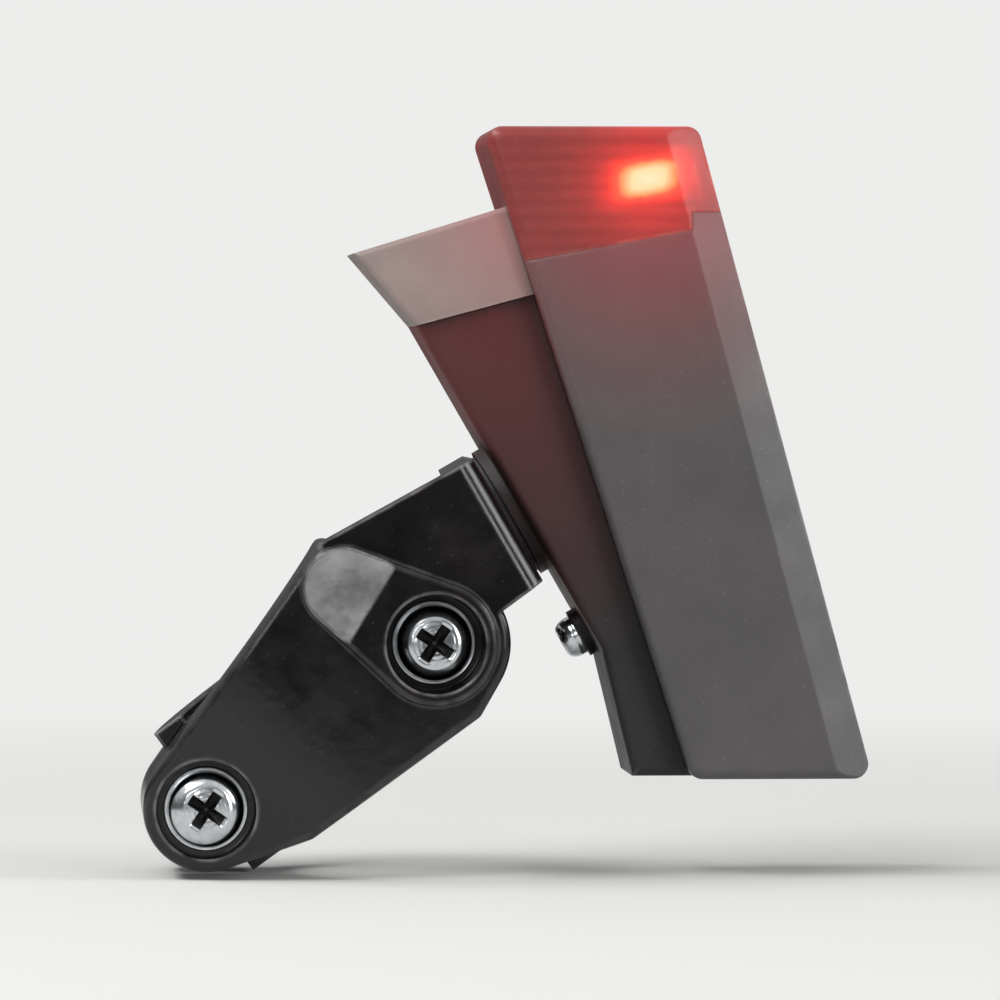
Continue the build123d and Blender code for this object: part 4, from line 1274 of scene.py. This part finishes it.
@dataclass
class Studio:
    """Pale floor, plain soft lamps and the camera. Sizes in metres, angles in degrees, powers in watts."""

    floor_under: float = 0.0002
    floor_radius: float = 6.0
    paper: str = "#D8D8D6"
    fade: Pair = (0.09, 0.4)
    backdrop: str = "#EDEDEC"
    ambient: float = 0.42
    horizon: float = 0.13
    boxes: tuple[tuple[str, Triple, Pair, float], ...] = (
        ("key_box", (-0.45, -0.55, 0.75), (0.5, 0.5), 4.4),
        ("fill_box", (0.92, -0.3, 0.42), (0.45, 0.45), 3.7),
        ("right_card", (0.57, -0.91, 0.135), (0.2, 0.5), 2.3),
        ("side_card", (-0.2, -1.0, 0.16), (0.16, 0.16), 0.7),
        ("rim_strip", (-0.56, 0.03, 0.75), (0.7, 0.18), 4.2))
    aim: Triple = (0.02, 0, 0.025)
    sensor: float = 36.0
    distance: float = 0.8
    span: float = 0.108
    azimuth: float = -3.5
    elevation: float = 1.0

    def floor(self) -> None:
        """Wide floor that fades into the backdrop's colour away from the object."""
        made = bmesh.new()
        bmesh.ops.create_circle(made, cap_ends=True, segments=96, radius=self.floor_radius)
        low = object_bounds()[0].z - self.floor_under
        bmesh.ops.translate(made, vec=(0, 0, low), verts=made.verts)
        item = linked("studio_floor", meshed("studio_floor", made))
        item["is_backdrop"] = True
        paper = bpy.data.materials.new("matt_paper")
        paper.use_nodes = True
        tree = paper.node_tree
        lit = feed(tree, tree.nodes["Principled BSDF"],
                   {"Base Color": linear(self.paper), "Roughness": 0.9, "Specular IOR Level": 0.1})
        reach = add(tree, "VectorMath", {0: add(tree, "TexCoord").outputs["Object"]}, operation="LENGTH")
        near, far = self.fade
        share = add(tree, "MapRange", {"Value": reach, "From Min": near, "From Max": far},
                    interpolation_type="SMOOTHSTEP")
        glossy = add(tree, "LightPath").outputs["Is Glossy Ray"]
        dim = add(tree, "MapRange", {"Value": glossy, "To Min": 1.0, "To Max": self.horizon})
        plain = add(tree, "Emission", {"Color": linear(self.backdrop), "Strength": dim})
        mix = add(tree, "MixShader", {0: share, 1: lit, 2: plain})
        feed(tree, tree.nodes["Material Output"], {"Surface": mix})
        item.data.materials.append(paper)

    def world(self) -> None:
        """Even light all round, shown as the pale backdrop to the camera and through glass.

        Reflections show the same backdrop as a room would: bright overhead, dimmer towards the horizon.
        """
        world = bpy.data.worlds.new("studio")
        bpy.context.scene.world = world
        world.use_nodes = True
        tree = world.node_tree
        tree.nodes.clear()
        path = add(tree, "LightPath").outputs
        glossy = path["Is Glossy Ray"]
        bent = add(tree, "Math", {0: glossy, 1: path["Is Transmission Ray"]}, operation="MAXIMUM")
        seen = add(tree, "Math", {0: bent, 1: path["Is Camera Ray"]}, operation="MAXIMUM")
        light = add(tree, "Background", {"Color": WHITE, "Strength": self.ambient})
        parts = add(tree, "SeparateXYZ", {0: add(tree, "TexCoord").outputs["Generated"]})
        above = add(tree, "MapRange", {"Value": parts.outputs[2], "From Min": 0.0, "From Max": 0.75,
                                       "To Min": self.horizon, "To Max": 1.0}, interpolation_type="SMOOTHSTEP")
        level = add(tree, "Mix", {0: glossy, 2: 1.0, 3: above}, data_type="FLOAT")
        shown = add(tree, "Background", {"Color": linear(self.backdrop), "Strength": level})
        mix = add(tree, "MixShader", {0: seen, 1: light, 2: shown})
        add(tree, "OutputWorld", {"Surface": mix})

    def lamps(self) -> None:
        """Soft boxes that face the object."""
        for name, place, size, power in self.boxes:
            data = bpy.data.lights.new(name, "AREA")
            data.shape = "RECTANGLE"
            data.size, data.size_y = size
            data.energy = power
            item = linked(name, data)
            item.location = place
            item.rotation_euler = (Vector(self.aim) - Vector(place)).to_track_quat("-Z", "Y").to_euler()

    def camera(self) -> None:
        """Long lens at the photograph's viewing angle."""
        low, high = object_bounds()
        data = bpy.data.cameras.new("camera")
        data.sensor_width = self.sensor
        data.lens = self.sensor / 2 / (self.span / 2 / self.distance)
        data.clip_start, data.clip_end = 0.01, 50.0
        item = linked("camera", data)
        a, e = math.radians(self.azimuth), math.radians(self.elevation)
        back = Vector((math.sin(a) * math.cos(e), -math.cos(a) * math.cos(e), math.sin(e)))
        item.location = (low + high) / 2 + back * self.distance
        item.rotation_euler = (-back).to_track_quat("-Z", "Y").to_euler()
        bpy.context.scene.camera = item

    def build(self) -> None:
        """Sets the whole studio up."""
        self.floor()
        self.world()
        self.lamps()
        self.camera()
        bpy.context.scene.view_settings.view_transform = "Standard"


def main() -> None:
    """Builds every sub-assembly in order, then the studio."""
    logging.basicConfig(level=logging.INFO, format="%(message)s")
    for label, part in (("clamp", Clamp()), ("swivel", Swivel()), ("lamp shell", LampShell()),
                        ("small screws", SmallScrews()), ("optics", Optics()), ("electronics", Electronics()),
                        ("studio", Studio())):
        log.info("building the %s", label)
        part.build()


if __name__ == "__main__":
    main()
